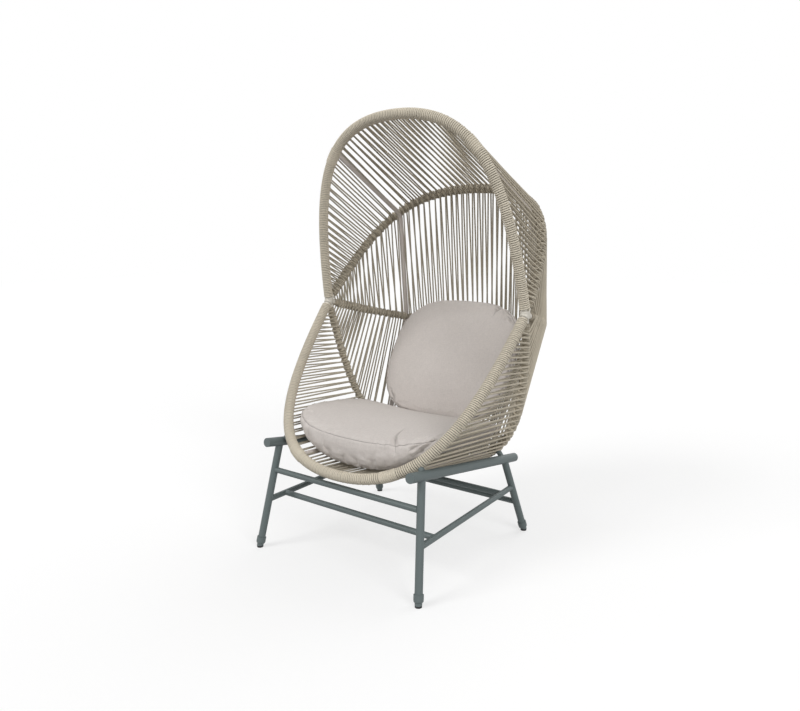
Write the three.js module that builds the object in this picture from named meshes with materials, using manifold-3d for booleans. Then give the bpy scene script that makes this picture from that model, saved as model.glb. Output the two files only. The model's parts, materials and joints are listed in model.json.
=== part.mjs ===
import * as THREE from 'three';
import { mergeVertices } from 'three/addons/utils/BufferGeometryUtils.js';
import Module from 'manifold-3d';

// Pod chair: a pod of bent tubes strung with cord, on a welded base with four splayed legs, and two
// loose cushions. Millimetres, +Z up. The pod opens towards -Y, left is -X and right is +X.

const wasm = await Module();
wasm.setup();

// Knuckles, the two points where all five hoops of the pod meet
const knuckle_half_width = 403.4;
const knuckle_reach = 99.2;
const knuckle_height = 787.1;
const knuckle_radius = 15.5;
const knuckle_sleeve = 13.3;
const knuckle_stub = 27;

// Hoops: how deep each one is, and the angle of its plane about the line between the
// knuckles, in degrees from level at the back
const hood_rim_depth = 623;
const hood_rim_angle = 102;
const rear_arch_depth = 541;
const rear_arch_angle = 49;
const waist_hoop_depth = 404;
const waist_hoop_angle = -14.3;
const lower_hoop_depth = 573;
const lower_hoop_angle = -77;
const bowl_rim_depth = 638;
const bowl_rim_angle = -131.8;
const hoop_tube_radius = 11;

// Shape of half a hoop, as shares of its half width and its depth
const hoop_shape_shares = { side: 0.061, shoulder: 0.684, crown: 0.73 };
const waist_shape_shares = { side: -0.047, shoulder: 0.285, crown: 0.932 };

// Cord wound round the two rims
const wrap_radius = 16;
const wrap_bore_clearance = 0.8;

// Spine tubes that cross the hoops on each side, by their distance from the middle at each hoop, as
// shares of the half width
const spine_radius = 8.5;
const spine_shares = { hood: 0.6081, arch: 0.7129, waist: 0.6787, lower: 0.5503, bowl: 0.4214 };

// Strung cord panels
const cord_radius = 2.75;
const cord_pitch = 22;
const cord_gap = 0.6;
const cord_knuckle_margin = 60;
const cord_spine_gap = 4;

// Brackets that carry the pod on the rails, with their clear lengths under the two lowest hoops
const bracket_radius = 9;
const front_bracket_length = 8.5;
const rear_bracket_length = 18;

// Base rails under the pod, and how far they run past the hoops at their gauge
const rail_radius = 15;
const rail_gauge_share = 0.7062;
const rail_front_overhang = 95.6;
const rail_rear_overhang = 78.8;
const rail_cap_thickness = 3;

// Legs, from the feet to the rails. The feet stand past the ends of the rails.
const leg_radius = 12;
const foot_spread_share = 0.8032;
const front_foot_overhang = 14.3;
const rear_foot_overhang = 18;
const front_leg_setback = 54.8;
const rear_leg_setback = 70.9;

// Cross bars and side stretchers, by their height as a share of the leg's
const bar_radius = 9.5;
const front_upper_bar_share = 0.736;
const rear_lower_bar_share = 0.4073;
const stretcher_front_share = 0.453;
const stretcher_rear_share = 0.6188;
const cross_bar_inset = 76.4;

// Feet
const glide_radius = 10.5;
const glide_height = 6;
const collar_radius = 15;
const collar_height = 36;
const collar_shoulder = 20;
const collar_dome = 8;
const collar_nose_radius = 11;
const collar_socket = 14;

// Seat cushion, and where it ends between the bowl rim and the lower hoop
const seat_width_share = 0.7759;
const seat_front_inset = 46;
const seat_rear_inset = 22.3;
const seat_lift = 11;
const seat_border = 98;
const seat_rear_rise = 34;
const seat_crown = 46;
const seat_outline_power = 3.7;
const seat_thinning_share = 0.62;
const seat_lean_share = 0.1;

// Back cushion, from above the lower hoop to past the waist hoop
const back_width_share = 0.6495;
const back_base = 110;
const back_overhang = 53.6;
const back_lift = 11.5;
const back_border = 92;
const back_crown = 48;
const back_outline_power = 3;
const back_thinning_share = 0.72;

// Clearances between separate pieces
const weld_gap = 0.3;
const cushion_gap = 0.5;

// Numbers of facets
const tube_sides = 10;
const hidden_sides = 8;
const rod_sides = 16;
const hoop_steps = 32;
const cushion_segments = 44;

const materials = {
  rim: { color: 0xc9bda4, roughness: 0.85, metalness: 0 },
  cord: { color: 0x8f8573, roughness: 0.85, metalness: 0 },
  tube: { color: 0x9a9084, roughness: 0.6, metalness: 0.1 },
  spine: { color: 0xa89d98, roughness: 0.5, metalness: 0.1 },
  knuckle: { color: 0xd6cec2, roughness: 0.6, metalness: 0 },
  base: { color: 0x5d6b6b, roughness: 0.5, metalness: 0.2 },
  glide: { color: 0x1c1d1e, roughness: 0.7, metalness: 0 },
  fabric: { color: 0xbcb4ae, roughness: 0.95, metalness: 0 },
};

const rig = new THREE.Group();

function add(name, geometry, material) {
  const mesh = new THREE.Mesh(geometry, new THREE.MeshStandardMaterial(materials[material]));
  mesh.name = name;
  rig.add(mesh);
  return mesh;
}

// Half of a hoop is one cubic curve, and the other half mirrors it.
class Hoop extends THREE.Curve {
  constructor(depth, turn, shares) {
    super();
    const width = knuckle_half_width;
    const shoulder = shares.shoulder * depth;
    this.half = new THREE.CubicBezierCurve(
      new THREE.Vector2(width, 0),
      new THREE.Vector2(width - shares.side * shoulder, shoulder),
      new THREE.Vector2(shares.crown * width, depth),
      new THREE.Vector2(0, depth),
    );
    this.depth = depth;
    const angle = THREE.MathUtils.degToRad(turn);
    this.out = new THREE.Vector3(0, Math.cos(angle), Math.sin(angle));
    this.arcLengthDivisions = 400;
  }

  getPoint(t, target = new THREE.Vector3()) {
    const side = t < 0.5 ? -1 : 1;
    const p = this.half.getPoint(t < 0.5 ? 2 * t : 2 - 2 * t);
    target.set(side * p.x, knuckle_reach, knuckle_height);
    return target.addScaledVector(this.out, p.y);
  }

  // Distance along the hoop from the left knuckle to where it crosses x
  lengthTo(x) {
    let low = 0;
    let high = 1;
    for (let i = 0; i < 40; i += 1) {
      const middle = (low + high) / 2;
      if (this.getPointAt(middle).x < x) {
        low = middle;
      } else {
        high = middle;
      }
    }
    return low * this.getLength();
  }

  // How much shallower the hoop is at x than in its middle
  shallower(x) {
    let low = 0;
    let high = 1;
    for (let i = 0; i < 40; i += 1) {
      const middle = (low + high) / 2;
      if (this.half.getPoint(middle).x > Math.abs(x)) {
        low = middle;
      } else {
        high = middle;
      }
    }
    return this.depth - this.half.getPoint(low).y;
  }

  // The point of the hoop's bow at x
  crossing(x) {
    return vector(x, knuckle_reach, knuckle_height).addScaledVector(this.out, this.depth - this.shallower(x));
  }
}

// A stretch of a curve with its steps at chosen distances
class Run extends THREE.Curve {
  constructor(curve, marks) {
    super();
    this.curve = curve;
    this.marks = marks;
    this.total = curve.getLength();
  }

  share(u) {
    const place = u * (this.marks.length - 1);
    const index = Math.min(Math.floor(place), this.marks.length - 2);
    const mark = THREE.MathUtils.lerp(this.marks[index], this.marks[index + 1], place - index);
    return THREE.MathUtils.clamp(mark / this.total, 0, 1);
  }

  getPoint(u, target) {
    return this.curve.getPointAt(this.share(u), target);
  }

  getPointAt(u, target) {
    return this.getPoint(u, target);
  }

  getTangentAt(u, target) {
    return this.curve.getTangentAt(this.share(u), target);
  }
}

// Steps along a hoop, closer together where it bends more
function bendMarks(curve, from, to, steps) {
  const samples = 400;
  const total = curve.getLength();
  const sums = [0];
  let last = curve.getTangentAt(from / total);
  for (let i = 1; i <= samples; i += 1) {
    const tangent = curve.getTangentAt(THREE.MathUtils.lerp(from, to, i / samples) / total);
    sums.push(sums[i - 1] + Math.sqrt(last.angleTo(tangent) / samples) + 1 / (samples * samples));
    last = tangent;
  }
  const marks = [from];
  let index = 0;
  for (let step = 1; step < steps; step += 1) {
    const goal = sums[samples] * (step / steps);
    while (sums[index + 1] < goal) {
      index += 1;
    }
    const part = (goal - sums[index]) / (sums[index + 1] - sums[index]);
    marks.push(THREE.MathUtils.lerp(from, to, (index + part) / samples));
  }
  marks.push(to);
  return marks;
}

function disc(radius, sides) {
  const points = [];
  for (let i = 0; i < sides; i += 1) {
    const angle = (2 * Math.PI * (i + 0.5)) / sides;
    points.push(new THREE.Vector2(radius * Math.cos(angle), radius * Math.sin(angle)));
  }
  return points;
}

function sweep(curve, marks, radius, sides, bore = 0) {
  const shape = new THREE.Shape(disc(radius, sides));
  if (bore > 0) {
    shape.holes.push(new THREE.Path(disc(bore, sides).reverse()));
  }
  return new THREE.ExtrudeGeometry(shape, {
    steps: marks.length - 1,
    extrudePath: new Run(curve, marks),
    bevelEnabled: false,
    curveSegments: 1,
  });
}

function rod(from, to, radius, sides = rod_sides) {
  const along = new THREE.Vector3().subVectors(to, from);
  const geometry = new THREE.CylinderGeometry(radius, radius, along.length(), sides);
  const turn = new THREE.Quaternion().setFromUnitVectors(
    new THREE.Vector3(0, 1, 0),
    along.clone().normalize(),
  );
  geometry.applyQuaternion(turn);
  const middle = new THREE.Vector3().addVectors(from, to).multiplyScalar(0.5);
  return geometry.translate(middle.x, middle.y, middle.z);
}

function toSolid(geometry) {
  const bare = geometry.clone();
  bare.deleteAttribute('normal');
  bare.deleteAttribute('uv');
  const merged = mergeVertices(bare);
  const solid = new wasm.Manifold(new wasm.Mesh({
    numProp: 3,
    vertProperties: new Float32Array(merged.attributes.position.array),
    triVerts: new Uint32Array(merged.index.array),
  }));
  return solid;
}

function toGeometry(solid) {
  const mesh = solid.getMesh();
  const geometry = new THREE.BufferGeometry();
  geometry.setAttribute('position', new THREE.BufferAttribute(new Float32Array(mesh.vertProperties), 3));
  geometry.setIndex(new THREE.BufferAttribute(new Uint32Array(mesh.triVerts), 1));
  geometry.computeVertexNormals();
  return geometry;
}

// What is left of a piece when others are cut out of it; offcuts are dropped
function cut(geometry, ...cutters) {
  let solid = toSolid(geometry);
  for (const cutter of cutters) {
    solid = solid.subtract(toSolid(cutter));
  }
  const bodies = solid.decompose();
  bodies.sort((a, b) => b.volume() - a.volume());
  return toGeometry(bodies[0]);
}

function join(geometries) {
  let solid = toSolid(geometries[0]);
  for (const geometry of geometries.slice(1)) {
    solid = solid.add(toSolid(geometry));
  }
  return toGeometry(solid);
}

function vector(x, y, z) {
  return new THREE.Vector3(x, y, z);
}

// Hoops of the pod
const hood_rim = new Hoop(hood_rim_depth, hood_rim_angle, hoop_shape_shares);
const rear_arch = new Hoop(rear_arch_depth, rear_arch_angle, hoop_shape_shares);
const waist_hoop = new Hoop(waist_hoop_depth, waist_hoop_angle, waist_shape_shares);
const lower_hoop = new Hoop(lower_hoop_depth, lower_hoop_angle, hoop_shape_shares);
const bowl_rim = new Hoop(bowl_rim_depth, bowl_rim_angle, hoop_shape_shares);

const tube_start = knuckle_stub + weld_gap;
const wrap_start = knuckle_sleeve + weld_gap;
const wrap_bore = (hoop_tube_radius + wrap_bore_clearance) / Math.cos(Math.PI / tube_sides);

function hoopMarks(hoop) {
  return bendMarks(hoop, tube_start, hoop.getLength() - tube_start, hoop_steps);
}

// A short length of a hoop round the distance `at`, to cut a mating piece
function hoopPart(hoop, at, half, radius) {
  const total = hoop.getLength();
  const from = THREE.MathUtils.clamp(at - half, 0, total);
  const to = THREE.MathUtils.clamp(at + half, 0, total);
  const marks = [];
  const steps = 6;
  for (let i = 0; i <= steps; i += 1) {
    marks.push(THREE.MathUtils.lerp(from, to, i / steps));
  }
  return sweep(hoop, marks, radius / Math.cos(Math.PI / rod_sides), rod_sides);
}

add('hood_rim', sweep(hood_rim, hoopMarks(hood_rim), hoop_tube_radius, hidden_sides), 'tube');
add('bowl_rim', sweep(bowl_rim, hoopMarks(bowl_rim), hoop_tube_radius, hidden_sides), 'tube');
add('rear_arch', sweep(rear_arch, hoopMarks(rear_arch), hoop_tube_radius, tube_sides), 'cord');
add('waist_hoop', sweep(waist_hoop, hoopMarks(waist_hoop), hoop_tube_radius, tube_sides), 'cord');
add('lower_hoop', sweep(lower_hoop, hoopMarks(lower_hoop), hoop_tube_radius, tube_sides), 'cord');

// Cord wraps of the rims, coped where the inner hoops come in beside them
function wrap(hoop, neighbour) {
  const total = hoop.getLength();
  const marks = [wrap_start, ...hoopMarks(hoop), total - wrap_start];
  const sleeve = sweep(hoop, marks, wrap_radius, tube_sides, wrap_bore);
  const reach = 2 * knuckle_stub + wrap_radius;
  const radius = hoop_tube_radius + weld_gap;
  return cut(
    sleeve,
    hoopPart(neighbour, 0, reach, radius),
    hoopPart(neighbour, neighbour.getLength(), reach, radius),
  );
}

add('hood_rim_wrap', wrap(hood_rim, rear_arch), 'rim');
add('bowl_rim_wrap', wrap(bowl_rim, lower_hoop), 'rim');

// Knuckles: a sleeve that turns from the hood rim into the bowl rim, with a stub for every hoop
function knuckle(side) {
  const pieces = [];
  const centre = vector(side * knuckle_half_width, knuckle_reach, knuckle_height);
  const ball = new THREE.SphereGeometry(knuckle_radius, rod_sides, hidden_sides);
  pieces.push(ball.translate(centre.x, centre.y, centre.z));
  for (const hoop of [hood_rim, bowl_rim, rear_arch, waist_hoop, lower_hoop]) {
    const total = hoop.getLength();
    const isRim = hoop === hood_rim || hoop === bowl_rim;
    const stub = side < 0 ? [0, knuckle_stub] : [total - knuckle_stub, total];
    pieces.push(sweep(hoop, stub, hoop_tube_radius, hidden_sides));
    if (isRim) {
      const sleeve = side < 0 ? [0, knuckle_sleeve] : [total - knuckle_sleeve, total];
      pieces.push(sweep(hoop, sleeve, knuckle_radius, rod_sides));
    }
  }
  return join(pieces);
}

add('knuckle_left', knuckle(-1), 'knuckle');
add('knuckle_right', knuckle(1), 'knuckle');

// Spine tubes, one length between each two hoops
function spine(side, upper, upperX, upperRadius, lower, lowerX, lowerRadius) {
  const at = upper.lengthTo(side * upperX);
  const to = lower.lengthTo(side * lowerX);
  const start = upper.getPointAt(at / upper.getLength());
  const end = lower.getPointAt(to / lower.getLength());
  return cut(
    rod(start, end, spine_radius, tube_sides),
    hoopPart(upper, at, 3 * upperRadius, upperRadius + weld_gap),
    hoopPart(lower, to, 3 * lowerRadius, lowerRadius + weld_gap),
  );
}

const spine_at = {};
for (const [place, share] of Object.entries(spine_shares)) {
  spine_at[place] = share * knuckle_half_width;
}
const inner = hoop_tube_radius;
for (const [side, word] of [[-1, 'left'], [1, 'right']]) {
  add(
    `hood_spine_${word}`,
    spine(side, hood_rim, spine_at.hood, wrap_radius, rear_arch, spine_at.arch, inner),
    'spine',
  );
  add(
    `back_spine_${word}`,
    spine(side, rear_arch, spine_at.arch, inner, waist_hoop, spine_at.waist, inner),
    'spine',
  );
  add(
    `lumbar_spine_${word}`,
    spine(side, waist_hoop, spine_at.waist, inner, lower_hoop, spine_at.lower, inner),
    'spine',
  );
  add(
    `seat_runner_${word}`,
    spine(side, lower_hoop, spine_at.lower, inner, bowl_rim, spine_at.bowl, wrap_radius),
    'spine',
  );
}

// A cord of square section along a zigzag, mitred at its corners, flat on the panel it lies in
function zigzag(points) {
  const half = (cord_radius * Math.sqrt(Math.PI)) / 2;
  const count = points.length;
  const positions = [];
  for (let i = 0; i < count; i += 1) {
    const before = points[Math.max(i - 1, 0)];
    const after = points[Math.min(i + 1, count - 1)];
    const incoming = new THREE.Vector3().subVectors(points[i], before).normalize();
    const outgoing = new THREE.Vector3().subVectors(after, points[i]).normalize();
    if (i === 0) {
      incoming.copy(outgoing);
    }
    if (i === count - 1) {
      outgoing.copy(incoming);
    }
    const first = points[THREE.MathUtils.clamp(i - 1, 0, count - 3)];
    const second = points[THREE.MathUtils.clamp(i, 1, count - 2)];
    const third = points[THREE.MathUtils.clamp(i + 1, 2, count - 1)];
    const normal = new THREE.Vector3().subVectors(second, first);
    normal.cross(new THREE.Vector3().subVectors(third, second)).normalize();
    if (i > 0) {
      const old = positions[positions.length - 1].normal;
      if (normal.dot(old) < 0) {
        normal.negate();
      }
    }
    const along = new THREE.Vector3().addVectors(incoming, outgoing).normalize();
    const across = new THREE.Vector3().crossVectors(normal, along).normalize();
    const mitre = half / Math.max(Math.cos(incoming.angleTo(outgoing) / 2), 0.5);
    positions.push({ centre: points[i], normal, across, mitre });
  }
  const vertices = [];
  for (const { centre, normal, across, mitre } of positions) {
    for (const [up, out] of [[1, 1], [1, -1], [-1, -1], [-1, 1]]) {
      const corner = centre.clone().addScaledVector(normal, up * half);
      corner.addScaledVector(across, out * mitre);
      vertices.push(corner.x, corner.y, corner.z);
    }
  }
  const faces = [0, 1, 2, 0, 2, 3];
  for (let i = 0; i < count - 1; i += 1) {
    const base = 4 * i;
    for (let k = 0; k < 4; k += 1) {
      const next = (k + 1) % 4;
      faces.push(base + k, base + 4 + k, base + 4 + next, base + k, base + 4 + next, base + next);
    }
  }
  const end = 4 * (count - 1);
  faces.push(end, end + 2, end + 1, end, end + 3, end + 2);
  const geometry = new THREE.BufferGeometry();
  geometry.setAttribute('position', new THREE.Float32BufferAttribute(vertices, 3));
  geometry.setIndex(faces);
  if (toSolid(geometry).volume() < 0) {
    const flipped = [];
    for (let i = 0; i < faces.length; i += 3) {
      flipped.push(faces[i], faces[i + 2], faces[i + 1]);
    }
    geometry.setIndex(flipped);
  }
  geometry.computeVertexNormals();
  return geometry;
}

// Where a strand turns on a hoop: beside the tube, on the side of the other hoop
function anchor(hoop, radius, at, towards) {
  const share = at / hoop.getLength();
  const point = hoop.getPointAt(share);
  const tangent = hoop.getTangentAt(share);
  const aim = new THREE.Vector3().subVectors(towards, point).normalize();
  const square = Math.sqrt(1 - aim.dot(tangent) ** 2);
  return point.addScaledVector(aim, (radius + cord_radius + cord_gap) / square);
}

function strands(first, firstSpan, second, secondSpan) {
  const mean = (Math.abs(firstSpan[1] - firstSpan[0]) + Math.abs(secondSpan[1] - secondSpan[0])) / 2;
  const count = Math.round(mean / cord_pitch);
  const points = [];
  for (let i = 0; i <= count; i += 1) {
    const a = THREE.MathUtils.lerp(firstSpan[0], firstSpan[1], i / count);
    const b = THREE.MathUtils.lerp(secondSpan[0], secondSpan[1], i / count);
    const onFirst = first.hoop.getPointAt(a / first.hoop.getLength());
    const onSecond = second.hoop.getPointAt(b / second.hoop.getLength());
    const top = anchor(first.hoop, first.radius, a, onSecond);
    const bottom = anchor(second.hoop, second.radius, b, onFirst);
    if (i % 2 === 0) {
      points.push(top, bottom);
    } else {
      points.push(bottom, top);
    }
  }
  return points;
}

// Least clear distance between neighbouring strands, measured on points along them
function leastGap(points) {
  let least = Infinity;
  const samples = 12;
  for (let i = 0; i + 3 < points.length; i += 2) {
    for (let k = 0; k <= samples; k += 1) {
      const here = points[i].clone().lerp(points[i + 1], k / samples);
      const line = new THREE.Line3(points[i + 2], points[i + 3]);
      const near = line.closestPointToPoint(here, true, new THREE.Vector3());
      least = Math.min(least, here.distanceTo(near) - 2 * cord_radius);
    }
  }
  return least;
}

let strandTotal = 0;
function stringPanel(name, first, second) {
  const margin = spine_radius + cord_radius + cord_spine_gap;
  const spans = [first, second].map(({ hoop, spineX }) => {
    const total = hoop.getLength();
    const crossing = hoop.lengthTo(-spineX);
    return {
      left: [cord_knuckle_margin, crossing - margin],
      centre: [crossing + margin, total - crossing - margin],
      right: [total - cord_knuckle_margin, total - crossing + margin],
    };
  });
  for (const section of ['left', 'centre', 'right']) {
    const points = strands(first, spans[0][section], second, spans[1][section]);
    strandTotal += points.length / 2;
    console.log(`${name}_${section}: ${points.length / 2} strands, least gap ${leastGap(points).toFixed(1)}`);
    add(`${name}_${section}`, zigzag(points), 'cord');
  }
}

const on_hood = { hoop: hood_rim, radius: wrap_radius, spineX: spine_at.hood };
const on_arch = { hoop: rear_arch, radius: hoop_tube_radius, spineX: spine_at.arch };
const on_waist = { hoop: waist_hoop, radius: hoop_tube_radius, spineX: spine_at.waist };
const on_lower = { hoop: lower_hoop, radius: hoop_tube_radius, spineX: spine_at.lower };
const on_bowl = { hoop: bowl_rim, radius: wrap_radius, spineX: spine_at.bowl };
stringPanel('hood_cords', on_hood, on_arch);
stringPanel('back_cords', on_arch, on_waist);
stringPanel('lumbar_cords', on_waist, on_lower);
stringPanel('seat_cords', on_lower, on_bowl);
console.log(`strands in all: ${strandTotal}`);

// Rails of the base. They hang under the bowl rim and the lower hoop by the length of the brackets.
const rail_half_gauge = rail_gauge_share * knuckle_half_width;
const foot_half_spread = foot_spread_share * knuckle_half_width;
const carried = [
  { hoop: bowl_rim, over: bowl_rim.crossing(rail_half_gauge), room: wrap_radius + front_bracket_length },
  { hoop: lower_hoop, over: lower_hoop.crossing(rail_half_gauge), room: hoop_tube_radius + rear_bracket_length },
];
const rail_heights = carried.map(({ over, room }) => over.z - room - rail_radius);
const rail_front_end = carried[0].over.y - rail_front_overhang;
const rail_rear_end = carried[1].over.y + rail_rear_overhang;

function railPoint(side, reach) {
  const share = (reach - carried[0].over.y) / (carried[1].over.y - carried[0].over.y);
  const height = rail_heights[0] + share * (rail_heights[1] - rail_heights[0]);
  return vector(side * rail_half_gauge, reach, height);
}

// Where a hoop passes nearest to the rail of its side
function nearest(side, hoop) {
  const line = new THREE.Line3(railPoint(side, rail_front_end), railPoint(side, rail_rear_end));
  const samples = 2000;
  let best = { distance: Infinity };
  for (let i = 0; i <= samples; i += 1) {
    const share = side < 0 ? (0.5 * i) / samples : 1 - (0.5 * i) / samples;
    const point = hoop.getPointAt(share);
    const foot = line.closestPointToPoint(point, true, new THREE.Vector3());
    const distance = point.distanceTo(foot);
    if (distance < best.distance) {
      best = { distance, point, foot, line, at: share * hoop.getLength() };
    }
  }
  return best;
}

const rail_passes = 12;
for (let pass = 0; pass < rail_passes; pass += 1) {
  carried.forEach(({ hoop, room }, i) => {
    rail_heights[i] -= room + rail_radius - nearest(1, hoop).distance;
  });
}

const legs = {};
const stretchers = {};
for (const [side, word] of [[-1, 'left'], [1, 'right']]) {
  const front = railPoint(side, rail_front_end);
  const rear = railPoint(side, rail_rear_end);
  const along = new THREE.Vector3().subVectors(rear, front).normalize();
  add(`rail_${word}`, rod(front, rear, rail_radius), 'base');
  const frontCap = front.clone().addScaledVector(along, -weld_gap);
  const rearCap = rear.clone().addScaledVector(along, weld_gap);
  add(
    `rail_front_cap_${word}`,
    rod(frontCap, frontCap.clone().addScaledVector(along, -rail_cap_thickness), rail_radius),
    'base',
  );
  add(
    `rail_rear_cap_${word}`,
    rod(rearCap, rearCap.clone().addScaledVector(along, rail_cap_thickness), rail_radius),
    'base',
  );

  const grownRail = rod(
    frontCap,
    rearCap,
    (rail_radius + weld_gap) / Math.cos(Math.PI / rod_sides),
  );
  for (const [end, foot, top] of [
    ['front', rail_front_end - front_foot_overhang, rail_front_end + front_leg_setback],
    ['rear', rail_rear_end + rear_foot_overhang, rail_rear_end - rear_leg_setback],
  ]) {
    const ground = vector(side * foot_half_spread, foot, 0);
    const head = railPoint(side, top);
    const axis = new THREE.Vector3().subVectors(head, ground).normalize();
    const start = ground.clone().addScaledVector(axis, collar_height - collar_socket + weld_gap);
    legs[`${end}_${word}`] = { ground, head };
    add(`${end}_leg_${word}`, cut(rod(start, head, leg_radius), grownRail), 'base');

    const socketRadius = (leg_radius + weld_gap) / Math.cos(Math.PI / rod_sides);
    const socket = collar_height - collar_socket;
    const profile = [
      new THREE.Vector2(0, 0),
      new THREE.Vector2(collar_nose_radius, 0),
      new THREE.Vector2(collar_nose_radius, collar_shoulder - collar_dome),
      new THREE.Vector2(collar_radius - weld_gap * 2, collar_shoulder - collar_dome / 2),
      new THREE.Vector2(collar_radius, collar_shoulder),
      new THREE.Vector2(collar_radius, collar_height - 2 * weld_gap),
      new THREE.Vector2(collar_radius - 2 * weld_gap, collar_height),
      new THREE.Vector2(socketRadius, collar_height),
      new THREE.Vector2(socketRadius, socket),
      new THREE.Vector2(0, socket),
    ];
    const collar = new THREE.LatheGeometry(profile, rod_sides);
    collar.applyQuaternion(new THREE.Quaternion().setFromUnitVectors(vector(0, 1, 0), axis));
    collar.translate(ground.x, ground.y, ground.z);
    const floor = new THREE.BoxGeometry(collar_height * 2, collar_height * 2, collar_height * 2);
    floor.translate(ground.x, ground.y, glide_height + weld_gap - collar_height);
    add(`${end}_foot_collar_${word}`, cut(collar, floor), 'base');

    const glideCentre = ground.clone().addScaledVector(axis, glide_height);
    const glide = rod(
      vector(glideCentre.x, glideCentre.y, 0),
      vector(glideCentre.x, glideCentre.y, glide_height),
      glide_radius,
    );
    add(`${end}_glide_${word}`, glide, 'glide');
  }
}

function legPoint(leg, share) {
  return leg.ground.clone().lerp(leg.head, share);
}

function grownLeg(leg) {
  return rod(leg.ground, leg.head, (leg_radius + weld_gap) / Math.cos(Math.PI / rod_sides));
}

function bar(from, to, ...mates) {
  return cut(rod(from, to, bar_radius), ...mates);
}

add(
  'front_upper_bar',
  bar(
    legPoint(legs.front_left, front_upper_bar_share),
    legPoint(legs.front_right, front_upper_bar_share),
    grownLeg(legs.front_left),
    grownLeg(legs.front_right),
  ),
  'base',
);
add(
  'rear_lower_bar',
  bar(
    legPoint(legs.rear_left, rear_lower_bar_share),
    legPoint(legs.rear_right, rear_lower_bar_share),
    grownLeg(legs.rear_left),
    grownLeg(legs.rear_right),
  ),
  'base',
);
for (const word of ['left', 'right']) {
  const from = legPoint(legs[`front_${word}`], stretcher_front_share);
  const to = legPoint(legs[`rear_${word}`], stretcher_rear_share);
  stretchers[word] = { from, to };
  add(
    `side_stretcher_${word}`,
    bar(from, to, grownLeg(legs[`front_${word}`]), grownLeg(legs[`rear_${word}`])),
    'base',
  );
}

function stretcherPoint(word, inset) {
  const { from, to } = stretchers[word];
  const length = from.distanceTo(to);
  return from.clone().lerp(to, inset > 0 ? inset / length : 1 + inset / length);
}

function grownStretcher(word) {
  const { from, to } = stretchers[word];
  return rod(from, to, (bar_radius + weld_gap) / Math.cos(Math.PI / rod_sides));
}

for (const [name, inset] of [['front_lower_bar', cross_bar_inset], ['rear_upper_bar', -cross_bar_inset]]) {
  const ends = ['left', 'right'].map((word) => stretcherPoint(word, inset));
  add(name, bar(ends[0], ends[1], grownStretcher('left'), grownStretcher('right')), 'base');
}

// Stubs between the rails and the pod
function bracket(side, hoop, radius) {
  const { distance, point, foot, line, at } = nearest(side, hoop);
  console.log(`bracket ${side} ${distance.toFixed(1)} from the rail axis`);
  return cut(
    rod(foot, point, bracket_radius),
    rod(line.start, line.end, (rail_radius + weld_gap) / Math.cos(Math.PI / rod_sides)),
    hoopPart(hoop, at, 3 * radius, radius + weld_gap),
  );
}

for (const [side, word] of [[-1, 'left'], [1, 'right']]) {
  add(`front_pod_bracket_${word}`, bracket(side, bowl_rim, wrap_radius), 'base');
  add(`rear_pod_bracket_${word}`, bracket(side, lower_hoop, hoop_tube_radius), 'base');
}

// A bed that a cushion lies on: the strung surface between two hoops, and the next one past them
class Bed {
  constructor(first, second, beyond) {
    this.start = first.getPoint(0.5);
    this.span = this.start.distanceTo(second.getPoint(0.5));
    this.along = new THREE.Vector3().subVectors(second.getPoint(0.5), this.start).normalize();
    this.up = new THREE.Vector3().crossVectors(vector(1, 0, 0), this.along).normalize();
    if (this.up.dot(first.out) > 0) {
      this.up.negate();
    }
    this.hoops = [first, second];
    this.steep = this.hoops.map((hoop) => Math.abs(this.up.dot(hoop.out)));
    const onward = new THREE.Vector3().subVectors(beyond.getPoint(0.5), second.getPoint(0.5));
    this.bend = onward.dot(this.up) / onward.dot(this.along);
  }

  // Height of the strung surface over its middle line
  rise(x, s) {
    const share = THREE.MathUtils.clamp(s / this.span, 0, 1);
    const rises = this.hoops.map((hoop, i) => this.steep[i] * hoop.shallower(x));
    return THREE.MathUtils.lerp(rises[0], rises[1], share) + this.bend * Math.max(s - this.span, 0);
  }

  slope(x, s) {
    const step = cord_radius;
    return (this.rise(x + step, s) - this.rise(x - step, s)) / (2 * step);
  }

  point(x, s, height, leanShare) {
    const normal = this.up.clone();
    normal.x = -leanShare * this.slope(x, s);
    normal.normalize();
    const base = this.start.clone().addScaledVector(this.along, s).addScaledVector(this.up, this.rise(x, s));
    base.x = x;
    return base.addScaledVector(normal, height);
  }
}

// Section of a cushion from the middle of its underside to the middle of its top, as pairs of shares:
// out towards the edge, and up the border
const border_shares = [
  [0.4, 0], [0.72, 0], [0.86, 0.06], [0.94, 0.24], [0.985, 0.48], [1, 0.74], [0.985, 1],
];
const crown_shares = [0.88, 0.74, 0.56, 0.32];

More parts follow.
